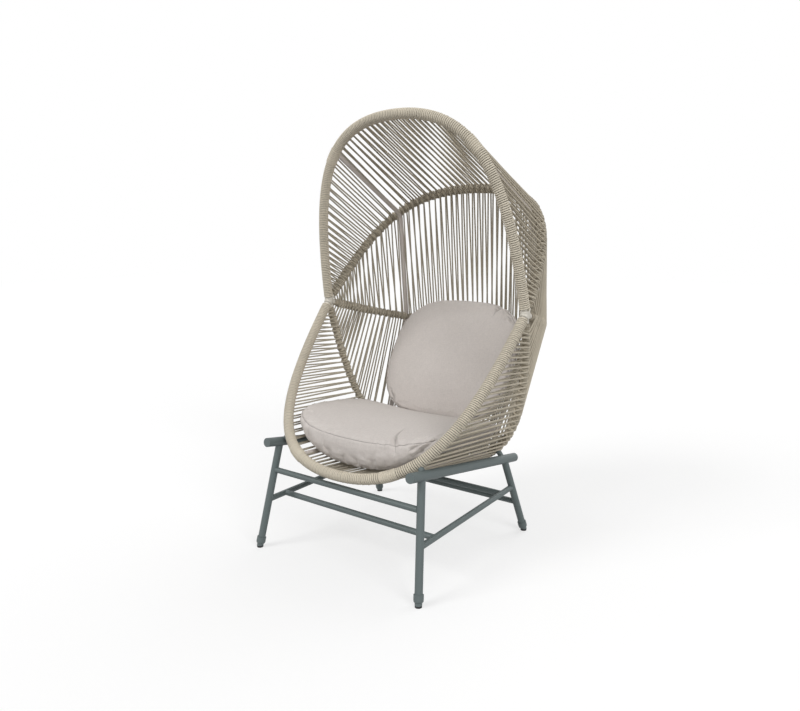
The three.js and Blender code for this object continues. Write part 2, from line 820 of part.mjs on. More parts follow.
function cushion({ bed, halfWidth, start, length, power, lift, border, rearRise, crown, thinning, leanShare }) {
  const place = (angle, out, up, dome) => {
    const c = Math.cos(angle);
    const s = Math.sin(angle);
    const size = out / (Math.abs(c) ** power + Math.abs(s) ** power) ** (1 / power);
    const x = halfWidth * size * c;
    const v = size * s;
    const y = start + (length * (1 + v)) / 2;
    const wall = border - thinning * bed.rise(x, y) + (rearRise * (1 + v)) / 2;
    return bed.point(x, y, lift + up * wall + dome * crown, leanShare);
  };
  const rings = [...border_shares.map(([out, up]) => [out, up, 0])];
  const seam = border_shares[border_shares.length - 1][0];
  for (const out of crown_shares) {
    rings.push([out, 1, 1 - (out / seam) ** 2.2]);
  }
  const vertices = [];
  const push = (p) => vertices.push(p.x, p.y, p.z);
  push(place(0, 0, 0, 0));
  for (const [out, up, dome] of rings) {
    for (let i = 0; i < cushion_segments; i += 1) {
      push(place((2 * Math.PI * (i + 0.5)) / cushion_segments, out, up, dome));
    }
  }
  push(place(0, 0, 1, 1));
  const faces = [];
  const last = rings.length * cushion_segments + 1;
  for (let i = 0; i < cushion_segments; i += 1) {
    const next = (i + 1) % cushion_segments;
    faces.push(0, 1 + next, 1 + i);
    for (let ring = 0; ring + 1 < rings.length; ring += 1) {
      const low = 1 + ring * cushion_segments;
      const high = low + cushion_segments;
      faces.push(low + i, low + next, high + next, low + i, high + next, high + i);
    }
    const rim = 1 + (rings.length - 1) * cushion_segments;
    faces.push(rim + i, rim + next, last);
  }
  const geometry = new THREE.BufferGeometry();
  geometry.setAttribute('position', new THREE.Float32BufferAttribute(vertices, 3));
  geometry.setIndex(faces);
  if (toSolid(geometry).volume() < 0) {
    for (let i = 0; i < faces.length; i += 3) {
      [faces[i + 1], faces[i + 2]] = [faces[i + 2], faces[i + 1]];
    }
    geometry.setIndex(faces);
  }
  geometry.computeVertexNormals();
  return geometry;
}

const seat_bed = new Bed(bowl_rim, lower_hoop, waist_hoop);
const seat = cushion({
  bed: seat_bed,
  halfWidth: seat_width_share * knuckle_half_width,
  start: seat_front_inset,
  length: seat_bed.span - seat_front_inset - seat_rear_inset,
  power: seat_outline_power,
  lift: seat_lift,
  border: seat_border,
  rearRise: seat_rear_rise,
  crown: seat_crown,
  thinning: seat_thinning_share,
  leanShare: seat_lean_share,
});
add('seat_cushion', seat, 'fabric');

const back_bed = new Bed(lower_hoop, waist_hoop, rear_arch);
const back = cushion({
  bed: back_bed,
  halfWidth: back_width_share * knuckle_half_width,
  start: back_base,
  length: back_bed.span - back_base + back_overhang,
  power: back_outline_power,
  lift: back_lift,
  border: back_border,
  rearRise: 0,
  crown: back_crown,
  thinning: back_thinning_share,
  leanShare: 0,
});
// The back cushion takes the shape of the seat cushion that it stands on.
const raised = seat.clone().translate(0, seat_bed.up.y * cushion_gap, seat_bed.up.z * cushion_gap);
add('back_cushion', cut(back, raised), 'fabric');

// The origin is on the floor, under the middle of the whole chair.
rig.updateMatrixWorld(true);
const middle = new THREE.Box3().setFromObject(rig, true).getCenter(new THREE.Vector3());
rig.position.y = -middle.y;
const group = new THREE.Group();
group.add(rig);

export default group;
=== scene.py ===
"""Dresses the pod chair: wound rims and hoops, strung panels, bent spines, painted base and linen cushions.

Everything is in metres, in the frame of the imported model. The pod opens towards -Y and left is -X.
"""

import json
import logging
import math
from dataclasses import dataclass, field
from enum import Enum
from typing import Any, Iterable, Optional, Sequence, Union

import bpy
import numpy as np
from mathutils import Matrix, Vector
from mathutils.bvhtree import BVHTree
from mathutils.kdtree import KDTree

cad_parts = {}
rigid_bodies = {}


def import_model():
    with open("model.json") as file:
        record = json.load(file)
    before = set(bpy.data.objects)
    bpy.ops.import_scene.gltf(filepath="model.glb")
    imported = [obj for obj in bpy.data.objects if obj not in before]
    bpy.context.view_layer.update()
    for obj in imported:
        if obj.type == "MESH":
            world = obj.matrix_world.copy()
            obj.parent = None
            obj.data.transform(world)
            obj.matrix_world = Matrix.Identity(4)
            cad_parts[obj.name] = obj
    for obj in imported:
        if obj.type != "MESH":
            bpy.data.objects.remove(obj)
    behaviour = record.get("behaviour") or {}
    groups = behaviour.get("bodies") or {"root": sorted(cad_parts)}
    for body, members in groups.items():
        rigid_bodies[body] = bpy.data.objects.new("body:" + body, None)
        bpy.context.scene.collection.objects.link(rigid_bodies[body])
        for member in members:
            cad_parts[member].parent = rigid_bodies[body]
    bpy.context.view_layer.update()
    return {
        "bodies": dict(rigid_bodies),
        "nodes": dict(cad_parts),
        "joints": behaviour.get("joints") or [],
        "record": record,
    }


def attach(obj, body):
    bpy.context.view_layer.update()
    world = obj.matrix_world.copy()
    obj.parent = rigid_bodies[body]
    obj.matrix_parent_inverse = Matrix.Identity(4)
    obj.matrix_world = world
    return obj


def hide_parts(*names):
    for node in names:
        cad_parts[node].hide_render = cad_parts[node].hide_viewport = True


log = logging.getLogger("pod_chair")
WHITE = (1.0, 1.0, 1.0, 1.0)
ACROSS = [1.0, 0.0, 0.0]
Points = np.ndarray
Nodes = dict[str, bpy.types.Object]


# Nodes of shaders and geometry


class Expr:
    """A node socket that takes part in arithmetic."""

    def __init__(self, board: "Board", socket: bpy.types.NodeSocket) -> None:
        """Wraps an output socket of a node on a board."""
        self.board = board
        self.socket = socket

    def _math(self, operation: str, *values: "Value", clamp: bool = False) -> "Expr":
        """Adds one Math node.

        Args:
            operation: the Math node's operation.
            values: what goes into its sockets, in order.
            clamp: whether the result is kept between 0 and 1.

        Returns:
            The node's result.
        """
        settings = {"operation": operation, "use_clamp": clamp}
        return self.board.value("ShaderNodeMath", settings, dict(enumerate(values)))

    def __add__(self, other: "Value") -> "Expr":
        """Sum."""
        return self._math("ADD", self, other)

    def __radd__(self, other: "Value") -> "Expr":
        """Sum with a number on the left."""
        return self._math("ADD", other, self)

    def __sub__(self, other: "Value") -> "Expr":
        """Difference."""
        return self._math("SUBTRACT", self, other)

    def __rsub__(self, other: "Value") -> "Expr":
        """Difference with a number on the left."""
        return self._math("SUBTRACT", other, self)

    def __mul__(self, other: "Value") -> "Expr":
        """Product."""
        return self._math("MULTIPLY", self, other)

    def __rmul__(self, other: "Value") -> "Expr":
        """Product with a number on the left."""
        return self._math("MULTIPLY", other, self)

    def __truediv__(self, other: "Value") -> "Expr":
        """Quotient."""
        return self._math("DIVIDE", self, other)

    def __pow__(self, other: "Value") -> "Expr":
        """Power."""
        return self._math("POWER", self, other)

    def sin(self) -> "Expr":
        """Sine of the value in radians."""
        return self._math("SINE", self)

    def cos(self) -> "Expr":
        """Cosine of the value in radians."""
        return self._math("COSINE", self)

    def abs(self) -> "Expr":
        """Size without its sign."""
        return self._math("ABSOLUTE", self)

    def most(self, other: "Value") -> "Expr":
        """The larger of two values."""
        return self._math("MAXIMUM", self, other)

    def clamp(self) -> "Expr":
        """The value kept between 0 and 1."""
        return self._math("ADD", self, 0.0, clamp=True)

    def band(self, low: float, high: float) -> "Expr":
        """A smooth step from 0, where the value is low, to 1, where it is high."""
        inputs = {"Value": self, "From Min": low, "From Max": high}
        return self.board.value("ShaderNodeMapRange", {"interpolation_type": "SMOOTHSTEP"}, inputs)


Value = Union[Expr, float, int]


class Board:
    """The nodes of one tree, for a material or for geometry."""

    def __init__(self, tree: bpy.types.NodeTree) -> None:
        """Takes over a node tree."""
        self.tree = tree

    def feed(self, node: bpy.types.Node, inputs: dict[Any, Any]) -> None:
        """Sets or links the sockets of a node.

        Args:
            node: the node.
            inputs: a value, socket or Expr for each socket, by name or place.
        """
        for key, value in inputs.items():
            if isinstance(value, Expr):
                value = value.socket
            if isinstance(value, bpy.types.NodeSocket):
                self.tree.links.new(value, node.inputs[key])
            else:
                node.inputs[key].default_value = value

    def add(
        self,
        kind: str,
        settings: Optional[dict[str, Any]] = None,
        inputs: Optional[dict[Any, Any]] = None,
    ) -> bpy.types.Node:
        """Adds a node.

        Args:
            kind: the node's type name.
            settings: properties to set before the sockets.
            inputs: values or links of its sockets.

        Returns:
            The new node.
        """
        node = self.tree.nodes.new(kind)
        for name, value in (settings or {}).items():
            setattr(node, name, value)
        self.feed(node, inputs or {})
        return node

    def value(
        self,
        kind: str,
        settings: Optional[dict[str, Any]] = None,
        inputs: Optional[dict[Any, Any]] = None,
        output: Union[str, int] = 0,
    ) -> Expr:
        """Adds a node and returns one of its outputs.

        Args:
            kind: the node's type name.
            settings: properties to set first.
            inputs: values or links of its sockets.
            output: name or place of the output.

        Returns:
            The output as an expression.
        """
        return Expr(self, self.add(kind, settings, inputs).outputs[output])

    def vector(self, operation: str, inputs: dict[Any, Any]) -> Expr:
        """The vector that comes out of a new Vector Math node."""
        return self.value("ShaderNodeVectorMath", {"operation": operation}, inputs)

    def waver(self, place: Expr, detail: float) -> Expr:
        """Noise around 0.5 along a line."""
        inputs = {"W": place, "Scale": 1.0, "Detail": detail}
        return self.value("ShaderNodeTexNoise", {"noise_dimensions": "1D"}, inputs)

    def stored(self, geometry: Expr, name: str, value: Expr) -> Expr:
        """Stores a number at each point of a geometry.

        Args:
            geometry: the geometry.
            name: the number's name.
            value: the number.

        Returns:
            The geometry with its numbers.
        """
        inputs = {"Geometry": geometry, "Name": name, "Value": value}
        settings = {"data_type": "FLOAT", "domain": "POINT"}
        return self.value("GeometryNodeStoreNamedAttribute", settings, inputs)


def emptied(owner: Union[bpy.types.Material, bpy.types.World]) -> Board:
    """Clears the nodes of a material or a world.

    Args:
        owner: the material or the world.

    Returns:
        Its board, with nothing on it.
    """
    owner.use_nodes = True
    owner.node_tree.nodes.clear()
    return Board(owner.node_tree)


# Finishes


def srgb(red: float, green: float, blue: float) -> tuple[float, ...]:
    """Turns a colour as a picture gives it into linear light.

    Args:
        red: red from 0 to 255.
        green: green from 0 to 255.
        blue: blue from 0 to 255.

    Returns:
        The linear colour, each from 0 to 1.
    """
    shares = [part / 255.0 for part in (red, green, blue)]
    return tuple(s / 12.92 if s <= 0.04045 else ((s + 0.055) / 1.055) ** 2.4 for s in shares)


@dataclass(frozen=True)
class Finish:
    """What every finish of the chair has."""

    name: str
    colour: tuple[float, ...]
    roughness: float = 0.7

    def material(self) -> bpy.types.Material:
        """Makes the material where it isn't there yet.

        Returns:
            The material.
        """
        made = bpy.data.materials.get(self.name)
        if made is None:
            made = bpy.data.materials.new(self.name)
            board = emptied(made)
            shader = board.add("ShaderNodeBsdfPrincipled", None, {"Roughness": self.roughness})
            board.add("ShaderNodeOutputMaterial", None, {0: shader.outputs[0]})
            board.feed(shader, self.draw(board))
            made.diffuse_color = (*self.colour, 1.0)
        return made

    def draw(self, board: Board) -> dict[str, Any]:
        """The finish's own values and links for the sockets of its Principled shader."""
        raise NotImplementedError

    def noise(self, board: Board, scale: float, detail: float = 3.0, vector: Optional[Expr] = None) -> Expr:
        """Cloudy noise.

        Args:
            board: the material's board.
            scale: waves in a metre, roughly.
            detail: how many finer layers it has.
            vector: where it is read, or else the point of the surface in the frame.

        Returns:
            Noise around 0.5.
        """
        place = vector or board.value("ShaderNodeTexCoord", output="Object")
        inputs = {"Vector": place, "Scale": scale, "Detail": detail, "Roughness": 0.6}
        return board.value("ShaderNodeTexNoise", None, inputs)

    def shaded(self, factor: float) -> tuple[float, ...]:
        """The finish's colour made lighter or darker, with alpha 1."""
        return (*(part * factor for part in self.colour), 1.0)

    def mixed(self, board: Board, mask: Value, first: Any, second: Any) -> Expr:
        """A colour between two others.

        Args:
            board: the material's board.
            mask: 0 for the first and 1 for the second.
            first: a colour, as numbers or as an expression.
            second: the other colour.

        Returns:
            The colour.
        """
        inputs = {"Factor": mask, 6: first, 7: second}
        return board.value("ShaderNodeMix", {"data_type": "RGBA"}, inputs, 2)

    def tone(self, board: Board, mask: Value, dark: float, light: float) -> Expr:
        """The finish's colour, times dark where the mask is 0 and times light where it is 1."""
        return self.mixed(board, mask, self.shaded(dark), self.shaded(light))

    def attribute(self, board: Board, name: str) -> Expr:
        """A value that the mesh carries at its points, or 0 where it has none."""
        return board.value("ShaderNodeAttribute", {"attribute_name": name}, output="Fac")

    def map_parts(self, board: Board, name: str) -> tuple[Expr, Expr]:
        """Reads one of the mesh's maps.

        Args:
            board: the material's board.
            name: the map's name.

        Returns:
            Its two measures.
        """
        spot = board.value("ShaderNodeUVMap", {"uv_map": name})
        parts = board.add("ShaderNodeSeparateXYZ", None, {0: spot})
        return Expr(board, parts.outputs[0]), Expr(board, parts.outputs[1])

    def relief(self, board: Board, height: Expr, depth: float) -> Expr:
        """The surface's normal, raised by a height from 0 to 1 that stands for a depth in metres."""
        return board.value("ShaderNodeBump", None, {"Height": height, "Distance": depth, "Strength": 1.0})


@dataclass(frozen=True)
class BraidedCord(Finish):
    """Round braided outdoor cord. It reads its pattern from the cord's own map, in turns and metres."""

    braid_pitch: float = 0.0062
    braid_count: float = 5.0
    dust: float = 0.12
    cloud: float = 9.0
    grime: float = 160.0
    depth: float = 0.0005
    # Share of the colour where the cord carries full painted shade.
    painted_shade_factor: float = 0.5

    def draw(self, board: Board) -> dict[str, Any]:
        """Draws the braid, its colour changes along the cord, the weathering and the painted shade that the
        mesh marks.

        Args:
            board: the material's board.

        Returns:
            What goes into the shader's sockets.
        """
        round_it, along = self.map_parts(board, "cord")
        turn = round_it * (2 * math.pi * self.braid_count)
        run = along * (2 * math.pi / self.braid_pitch)
        plait = ((turn + run).sin() * (turn - run).sin()) * 0.5 + 0.5
        grime = self.noise(board, self.grime, 2.0)
        mask = (plait * 0.3 + self.noise(board, self.cloud) * 0.75 + grime * 0.35 - 0.2).clamp()
        colour = self.tone(board, mask, 1.0 - 2.2 * self.dust, 1.0 + self.dust)
        return {
            # Painted shade: darker in the grooves between wound turns, on the inner strands and on the hoop
            # tubes between turns.
            "Base Color": self.mixed(board, self.attribute(board, "shade"), colour, self.shaded(self.painted_shade_factor)),
            "Roughness": (grime * 0.16 + (self.roughness - 0.08)).clamp(),
            "Normal": self.relief(board, plait * 0.8 + grime * 0.2, self.depth),
            "Specular IOR Level": 0.12,
            "Sheen Weight": 0.05,
            "Sheen Roughness": 0.5,
        }


@dataclass(frozen=True)
class PowderCoat(Finish):
    """Matt textured powder coat on steel tube."""

    wear: float = 0.1
    coat: float = 0.0
    grain: float = 900.0
    cloud: float = 7.0
    rub: float = 45.0
    depth: float = 0.00012

    def draw(self, board: Board) -> dict[str, Any]:
        """Draws the fine orange-peel grain, faint cloudiness and rubbed spots.

        Args:
            board: the material's board.

        Returns:
            What goes into the shader's sockets.
        """
        peel = self.noise(board, self.grain, 2.0)
        cloud = self.noise(board, self.cloud, 4.0)
        rub = self.noise(board, self.rub, 5.0).band(0.62, 0.74)
        mask = (cloud * 0.7 + peel * 0.3 + rub * 0.35).clamp()
        return {
            "Base Color": self.tone(board, mask, 1.0 - self.wear, 1.0 + self.wear),
            "Roughness": (peel * 0.12 + cloud * 0.1 + (self.roughness - 0.1)).clamp(),
            "Normal": self.relief(board, peel, self.depth),
            "Coat Weight": self.coat,
            "Coat Roughness": 0.35,
        }


@dataclass(frozen=True)
class MouldedRubber(Finish):
    """Moulded foot pad with a scuffed surface."""

    grain: float = 1400.0
    scuff: float = 120.0
    depth: float = 0.0001

    def draw(self, board: Board) -> dict[str, Any]:
        """Draws moulding grain and scuffs.

        Args:
            board: the material's board.

        Returns:
            What goes into the shader's sockets.
        """
        grain = self.noise(board, self.grain, 2.0)
        scuff = self.noise(board, self.scuff, 5.0).band(0.52, 0.7)
        return {
            "Base Color": self.tone(board, scuff, 0.8, 1.9),
            "Roughness": (scuff * 0.2 + grain * 0.1 + (self.roughness - 0.1)).clamp(),
            "Normal": self.relief(board, grain, self.depth),
        }


@dataclass(frozen=True)
class LinenWeave(Finish):
    """Linen-look outdoor cloth: slubby warp and weft, read from the cloth's own map in metres."""

    thread: float = 0.0011
    slub_short: float = 900.0
    slub_long: float = 40.0
    cloud: float = 6.0
    fleck: float = 170.0
    dark: float = 0.82
    light: float = 1.11
    seam: float = 0.0021
    fold: float = 0.0075
    # Share of the colour in the painted shade along the seam and in the folds.
    crease: float = 0.45
    depth: float = 0.0016

    def draw(self, board: Board) -> dict[str, Any]:
        """Draws the weave, the slubs in both thread directions, soft soiling, and painted shade along the
        seam and in the creases.

        Args:
            board: the material's board.

        Returns:
            What goes into the shader's sockets.
        """
        across, along = self.map_parts(board, "cloth")
        step = 2 * math.pi / self.thread
        weave = (across * step).sin() * (along * step).sin() * 0.5 + 0.5
        slubs = []
        for wide, tall in ((self.slub_long, self.slub_short), (self.slub_short, self.slub_long)):
            spot = board.value("ShaderNodeCombineXYZ", None, {0: across * wide, 1: along * tall})
            slubs.append(self.noise(board, 1.0, 2.0, spot))
        slub = (slubs[0] + slubs[1]) * 0.5
        cloud = self.noise(board, self.cloud, 4.0)
        fleck = self.noise(board, self.fleck, 2.0)
        mask = (slub * 1.5 - 0.45 + weave * 0.12 + (cloud - 0.5) * 0.35 + (fleck - 0.5) * 0.55).clamp()
        # Painted shade: the cloth is darker along the seam and in the folds.
        seam = self.attribute(board, "seam").abs().band(self.seam, 0.0)
        fold = self.attribute(board, "fold").abs().band(self.fold, 0.0) ** 1.6
        shadow = (seam * 0.75 + fold * 0.55).clamp()
        colour = self.tone(board, mask, self.dark, self.light)
        return {
            "Base Color": self.mixed(board, shadow, colour, self.shaded(self.crease)),
            "Roughness": (slub * 0.12 + (self.roughness - 0.06)).clamp(),
            "Normal": self.relief(board, (weave * 0.45 + slub * 0.55) * 0.22 - seam * 0.8, self.depth),
            "Specular IOR Level": 0.15,
            "Sheen Weight": 0.12,
            "Sheen Roughness": 0.6,
        }


# These three are one cord: the strands and the wound inner hoops get darker copies of the rim's colour, as
# painted shade for lying inside the pod.
RIM_CORD = BraidedCord("rim_braid", srgb(223, 214, 196), 0.8)
PANEL_CORD = BraidedCord("panel_cord", srgb(203, 194, 176), 0.8)
KNOT_CORD = BraidedCord("knot_cord", srgb(187, 177, 159), 0.82)
# The rim tubes' paint, made darker as painted shade in the gaps between the wound turns.
CORE_PAINT_AND_SHADE = PowderCoat("core_paint_and_shade", srgb(84, 78, 68), 0.6)
SPINE_PAINT = PowderCoat("spine_paint", srgb(208, 200, 194), 0.5, wear=0.07)
KNUCKLE_PAINT = PowderCoat("knuckle_paint", srgb(205, 200, 189), 0.5, wear=0.06, coat=0.1)
BASE_PAINT = PowderCoat("base_paint", srgb(94, 104, 104), 0.52)
GLIDE_RUBBER = MouldedRubber("glide_rubber", srgb(34, 35, 36), 0.75)
CUSHION_LINEN = LinenWeave("cushion_linen", srgb(212, 205, 200), 0.92)


# Meshes

WELD_REACH = 0.00002
OWN_SHARE = 0.4
# Painted shade in the grooves of wound cord: where it starts on the flank, and how strong it is.
GROOVE_CREST = 0.7
GROOVE_SHADE = 0.95


def unit(vectors: Points) -> Points:
    """Vectors brought to length 1, along the last axis."""
    return vectors / np.maximum(np.linalg.norm(vectors, axis=-1, keepdims=True), 1e-12)


def linked(name: str, data: Any) -> bpy.types.Object:
    """Makes an object and links it to the scene.

    Args:
        name: the object's name.
        data: its mesh, camera or lamp.

    Returns:
        The object.
    """
    made = bpy.data.objects.new(name, data)
    bpy.context.scene.collection.objects.link(made)
    return made


def make_object(name: str, points: Iterable, faces: Iterable, edges: Iterable = ()) -> bpy.types.Object:
    """Makes a mesh object at the origin.

    Args:
        name: the object's name.
        points: the vertices.
        faces: vertex indices of each face.
        edges: vertex indices of each loose edge.

    Returns:
        The linked object.
    """
    mesh = bpy.data.meshes.new(name)
    mesh.from_pydata([tuple(p) for p in points], list(edges), list(faces))
    mesh.update()
    return linked(name, mesh)


def wire_object(paths: Sequence[Points]) -> bpy.types.Object:
    """Makes the centre lines of one or more cords as loose edges.

    Args:
        paths: the points of each line.

    Returns:
        The linked object.
    """
    points: list[Points] = []
    edges: list[tuple[int, int]] = []
    for path in paths:
        first = len(points)
        points.extend(path)
        edges.extend((i, i + 1) for i in range(first, len(points) - 1))
    return make_object("line", points, [], edges)


def evaluated(piece: bpy.types.Object) -> bpy.types.Mesh:
    """The piece's mesh with its modifiers applied."""
    graph = bpy.context.evaluated_depsgraph_get()
    return bpy.data.meshes.new_from_object(piece.evaluated_get(graph))


def apply_modifiers(piece: bpy.types.Object) -> None:
    """Makes the work of the piece's modifiers part of its mesh.

    Args:
        piece: the mesh object.
    """
    mesh = evaluated(piece)
    piece.modifiers.clear()
    piece.data = mesh


def modify(piece: bpy.types.Object, kind: str, **settings: Any) -> None:
    """Applies one modifier.

    Args:
        piece: the mesh object.
        kind: the modifier's type.
        settings: its properties.
    """
    modifier = piece.modifiers.new(kind.lower(), kind)
    for name, value in settings.items():
        setattr(modifier, name, value)
    apply_modifiers(piece)


def copied(node: bpy.types.Object, name: str) -> bpy.types.Object:
    """A copy of a CAD node with its loose triangles merged.

    Args:
        node: the node's object.
        name: the copy's name.

    Returns:
        The linked copy.
    """
    piece = linked(name, node.data.copy())
    modify(piece, "WELD", merge_threshold=WELD_REACH)
    return piece


def smooth(piece: bpy.types.Object, angle: float = 40.0) -> None:
    """Shades a piece smooth, with its sharper edges kept.

    Args:
        piece: a mesh object.
        angle: edges that turn by more than this many degrees stay sharp.
    """
    piece.data.polygons.foreach_set("use_smooth", [True] * len(piece.data.polygons))
    if angle < 180:
        piece.data.set_sharp_from_angle(angle=math.radians(angle))


def numbers(rows: Any, key: str, width: int = 1, kind: type = np.float32) -> Points:
    """One property of every row of a mesh's data.

    Args:
        rows: the rows, such as the mesh's edges.
        key: the property.
        width: how many numbers each row has.
        kind: their type.

    Returns:
        A number, or a line of numbers, for each row.
    """
    flat = np.zeros(len(rows) * width, kind)
    rows.foreach_get(key, flat)
    return flat.reshape(-1, width) if width > 1 else flat


def read(piece: bpy.types.Object) -> Points:
    """The piece's vertices."""
    return numbers(piece.data.vertices, "co", 3).astype(float)


def normals_of(piece: bpy.types.Object) -> Points:
    """The piece's vertex normals."""
    return numbers(piece.data.vertex_normals, "vector", 3).astype(float)


def write(piece: bpy.types.Object, points: Points) -> None:
    """Moves the piece's vertices."""
    piece.data.vertices.foreach_set("co", points.astype(np.float32).ravel())
    piece.data.update()


def carry(piece: bpy.types.Object, name: str, values: Points) -> None:
    """Gives the piece's points a value each, for its material."""
    layer = piece.data.attributes.new(name, "FLOAT", "POINT")
    layer.data.foreach_set("value", values.astype(np.float32))


def face_corners(mesh: bpy.types.Mesh) -> tuple[Points, Points, Points]:
    """The corners of the mesh's faces.

    Args:
        mesh: the mesh.

    Returns:
        The vertex at each corner, where each face's corners start, and how many it has.
    """
    spots = numbers(mesh.loops, "vertex_index", kind=np.int32)
    starts = numbers(mesh.polygons, "loop_start", kind=np.int32)
    return spots, starts, np.diff(np.append(starts, len(spots)))


def write_map(mesh: bpy.types.Mesh, name: str, u: Points, v: Points) -> None:
    """Gives the mesh a map, with u and v for each face corner."""
    layer = mesh.uv_layers.new(name=name)
    layer.data.foreach_set("uv", np.stack([u, v], 1).astype(np.float32).ravel())


def map_cord(mesh: bpy.types.Mesh) -> None:
    """Turns the cord's own measures, turn and run, into the map that its finish reads.

    Args:
        mesh: a mesh with the point attributes turn and run.
    """
    turn, run = (numbers(mesh.attributes[name].data, "value") for name in ("turn", "run"))
    spots, starts, sizes = face_corners(mesh)
    u = turn[spots]
    highest = np.repeat(np.maximum.reduceat(u, starts), sizes)
    u = np.where(highest - u > 0.5, u + 1.0, u)
    write_map(mesh, "cord", u, run[spots])
    for name in ("turn", "run"):
        mesh.attributes.remove(mesh.attributes[name])


def evened(piece: bpy.types.Object, values: Points, rounds: int) -> Points:
    """Values at the vertices, evened out with their neighbours.

    Args:
        piece: the mesh object.
        values: three values for each vertex.
        rounds: how many times they are evened.

    Returns:
        The even values.
    """
    a, b = numbers(piece.data.edges, "vertices", 2, np.int32).T
    count = len(values)
    valence = np.bincount(a, minlength=count) + np.bincount(b, minlength=count)
    for _ in range(rounds):
        sums = [
            np.bincount(a, values[b, k], minlength=count) + np.bincount(b, values[a, k], minlength=count)
            for k in range(3)
        ]
        values = OWN_SHARE * values + (1 - OWN_SHARE) * np.stack(sums, -1) / valence[:, None]
    return values


def join_pieces(parts: Sequence[bpy.types.Object], name: str) -> bpy.types.Object:
    """Joins objects at the origin into the first of them.

    Args:
        parts: the objects.
        name: the joined object's name.

    Returns:
        The joined object.
    """
    with bpy.context.temp_override(
        active_object=parts[0], selected_editable_objects=list(parts), object=parts[0]
    ):
        bpy.ops.object.join()
    parts[0].name = name
    parts[0].data.name = name
    return parts[0]


# Cord made by Geometry Nodes

UNEVEN_WAVES = 35.0
DRIFT_WAVES = 90.0
DRIFT_SHARE = 0.0007
STRAY_WAVES = 0.11
STRAY_SHARE = 0.035


class Tree:
    """A Geometry Nodes tree that sweeps a round section along a curve, with named inputs."""

    def __init__(self, name: str) -> None:
        """Starts a tree with the lines that go in, as a curve.

        Args:
            name: the tree's name.
        """
        self.group = bpy.data.node_groups.new(name, "GeometryNodeTree")
        self.board = Board(self.group)
        for way in ("INPUT", "OUTPUT"):
            self.group.interface.new_socket(name="Geometry", in_out=way, socket_type="NodeSocketGeometry")
        self.sockets: dict[str, str] = {}
        self.source = self.board.add("NodeGroupInput")
        self.curve = self.board.value("GeometryNodeMeshToCurve", None, {0: self.source.outputs[0]})

    def ask(self, name: str, kind: str) -> Expr:
        """Adds a named input.

        Args:
            name: the input's name.
            kind: Float, Int or Material.

        Returns:
            The input as an expression.
        """
        socket = self.group.interface.new_socket(name=name, in_out="INPUT", socket_type=f"NodeSocket{kind}")
        self.sockets[name] = socket.identifier
        return Expr(self.board, self.source.outputs[name])

    def sweep(self, curve: Expr) -> None:
        """Sweeps the section along a curve, marks how far round and along it each point is, and ends.

        Args:
            curve: the cord's centre line.
        """
        board = self.board
        radius, sides = self.ask("Radius", "Float"), self.ask("Sides", "Int")
        circle = board.value(
            "GeometryNodeCurvePrimitiveCircle", {"mode": "RADIUS"}, {"Resolution": sides, "Radius": radius}
        )
        profile = board.stored(circle, "turn", board.value("GeometryNodeInputIndex") / sides)
        run = board.value("GeometryNodeSplineParameter", output="Length")
        inputs = {"Curve": board.stored(curve, "run", run), "Profile Curve": profile, "Fill Caps": True}
        swept = board.value("GeometryNodeCurveToMesh", None, inputs)
        real = board.value("GeometryNodeRealizeInstances", None, {0: swept})
        inputs = {"Geometry": real, "Material": self.ask("Material", "Material")}
        board.add("NodeGroupOutput", None, {0: board.value("GeometryNodeSetMaterial", None, inputs)})

    def apply(self, paths: Sequence[Points], name: str, settings: dict[str, Any]) -> bpy.types.Object:
        """Runs the tree on some lines and keeps the result as a plain mesh.

        Args:
            paths: the points of each line.
            name: the result's name.
            settings: a value for each named input.

        Returns:
            The plain mesh object.
        """
        source = wire_object(paths)
        modifier = source.modifiers.new("tree", "NODES")
        modifier.node_group = self.group
        for key, value in settings.items():
            modifier[self.sockets[key]] = value
        mesh = evaluated(source)
        bpy.data.objects.remove(source)
        mesh.name = name
        made = linked(name, mesh)
        map_cord(mesh)
        smooth(made)
        return made


def cord_tree() -> Tree:
    """The tree that lays a round cord or tube along every line of its input, a little uneven.

    Returns:
        The tree, with inputs Unevenness, Seed, Radius, Sides and Material.
    """
    tree = Tree("lay_cord")
    board = tree.board
    uneven, seed = tree.ask("Unevenness", "Float"), tree.ask("Seed", "Float")
    place = board.value("GeometryNodeInputPosition")
    inputs = {"Vector": place, "W": seed, "Scale": UNEVEN_WAVES, "Detail": 1.0}
    noise = board.value("ShaderNodeTexNoise", {"noise_dimensions": "4D"}, inputs, "Color")
    centred = board.vector("SUBTRACT", {0: noise, 1: (0.5, 0.5, 0.5)})
    shift = board.vector("SCALE", {0: centred, "Scale": uneven})
    tree.sweep(board.value("GeometryNodeSetPosition", None, {"Geometry": tree.curve, "Offset": shift}))
    return tree


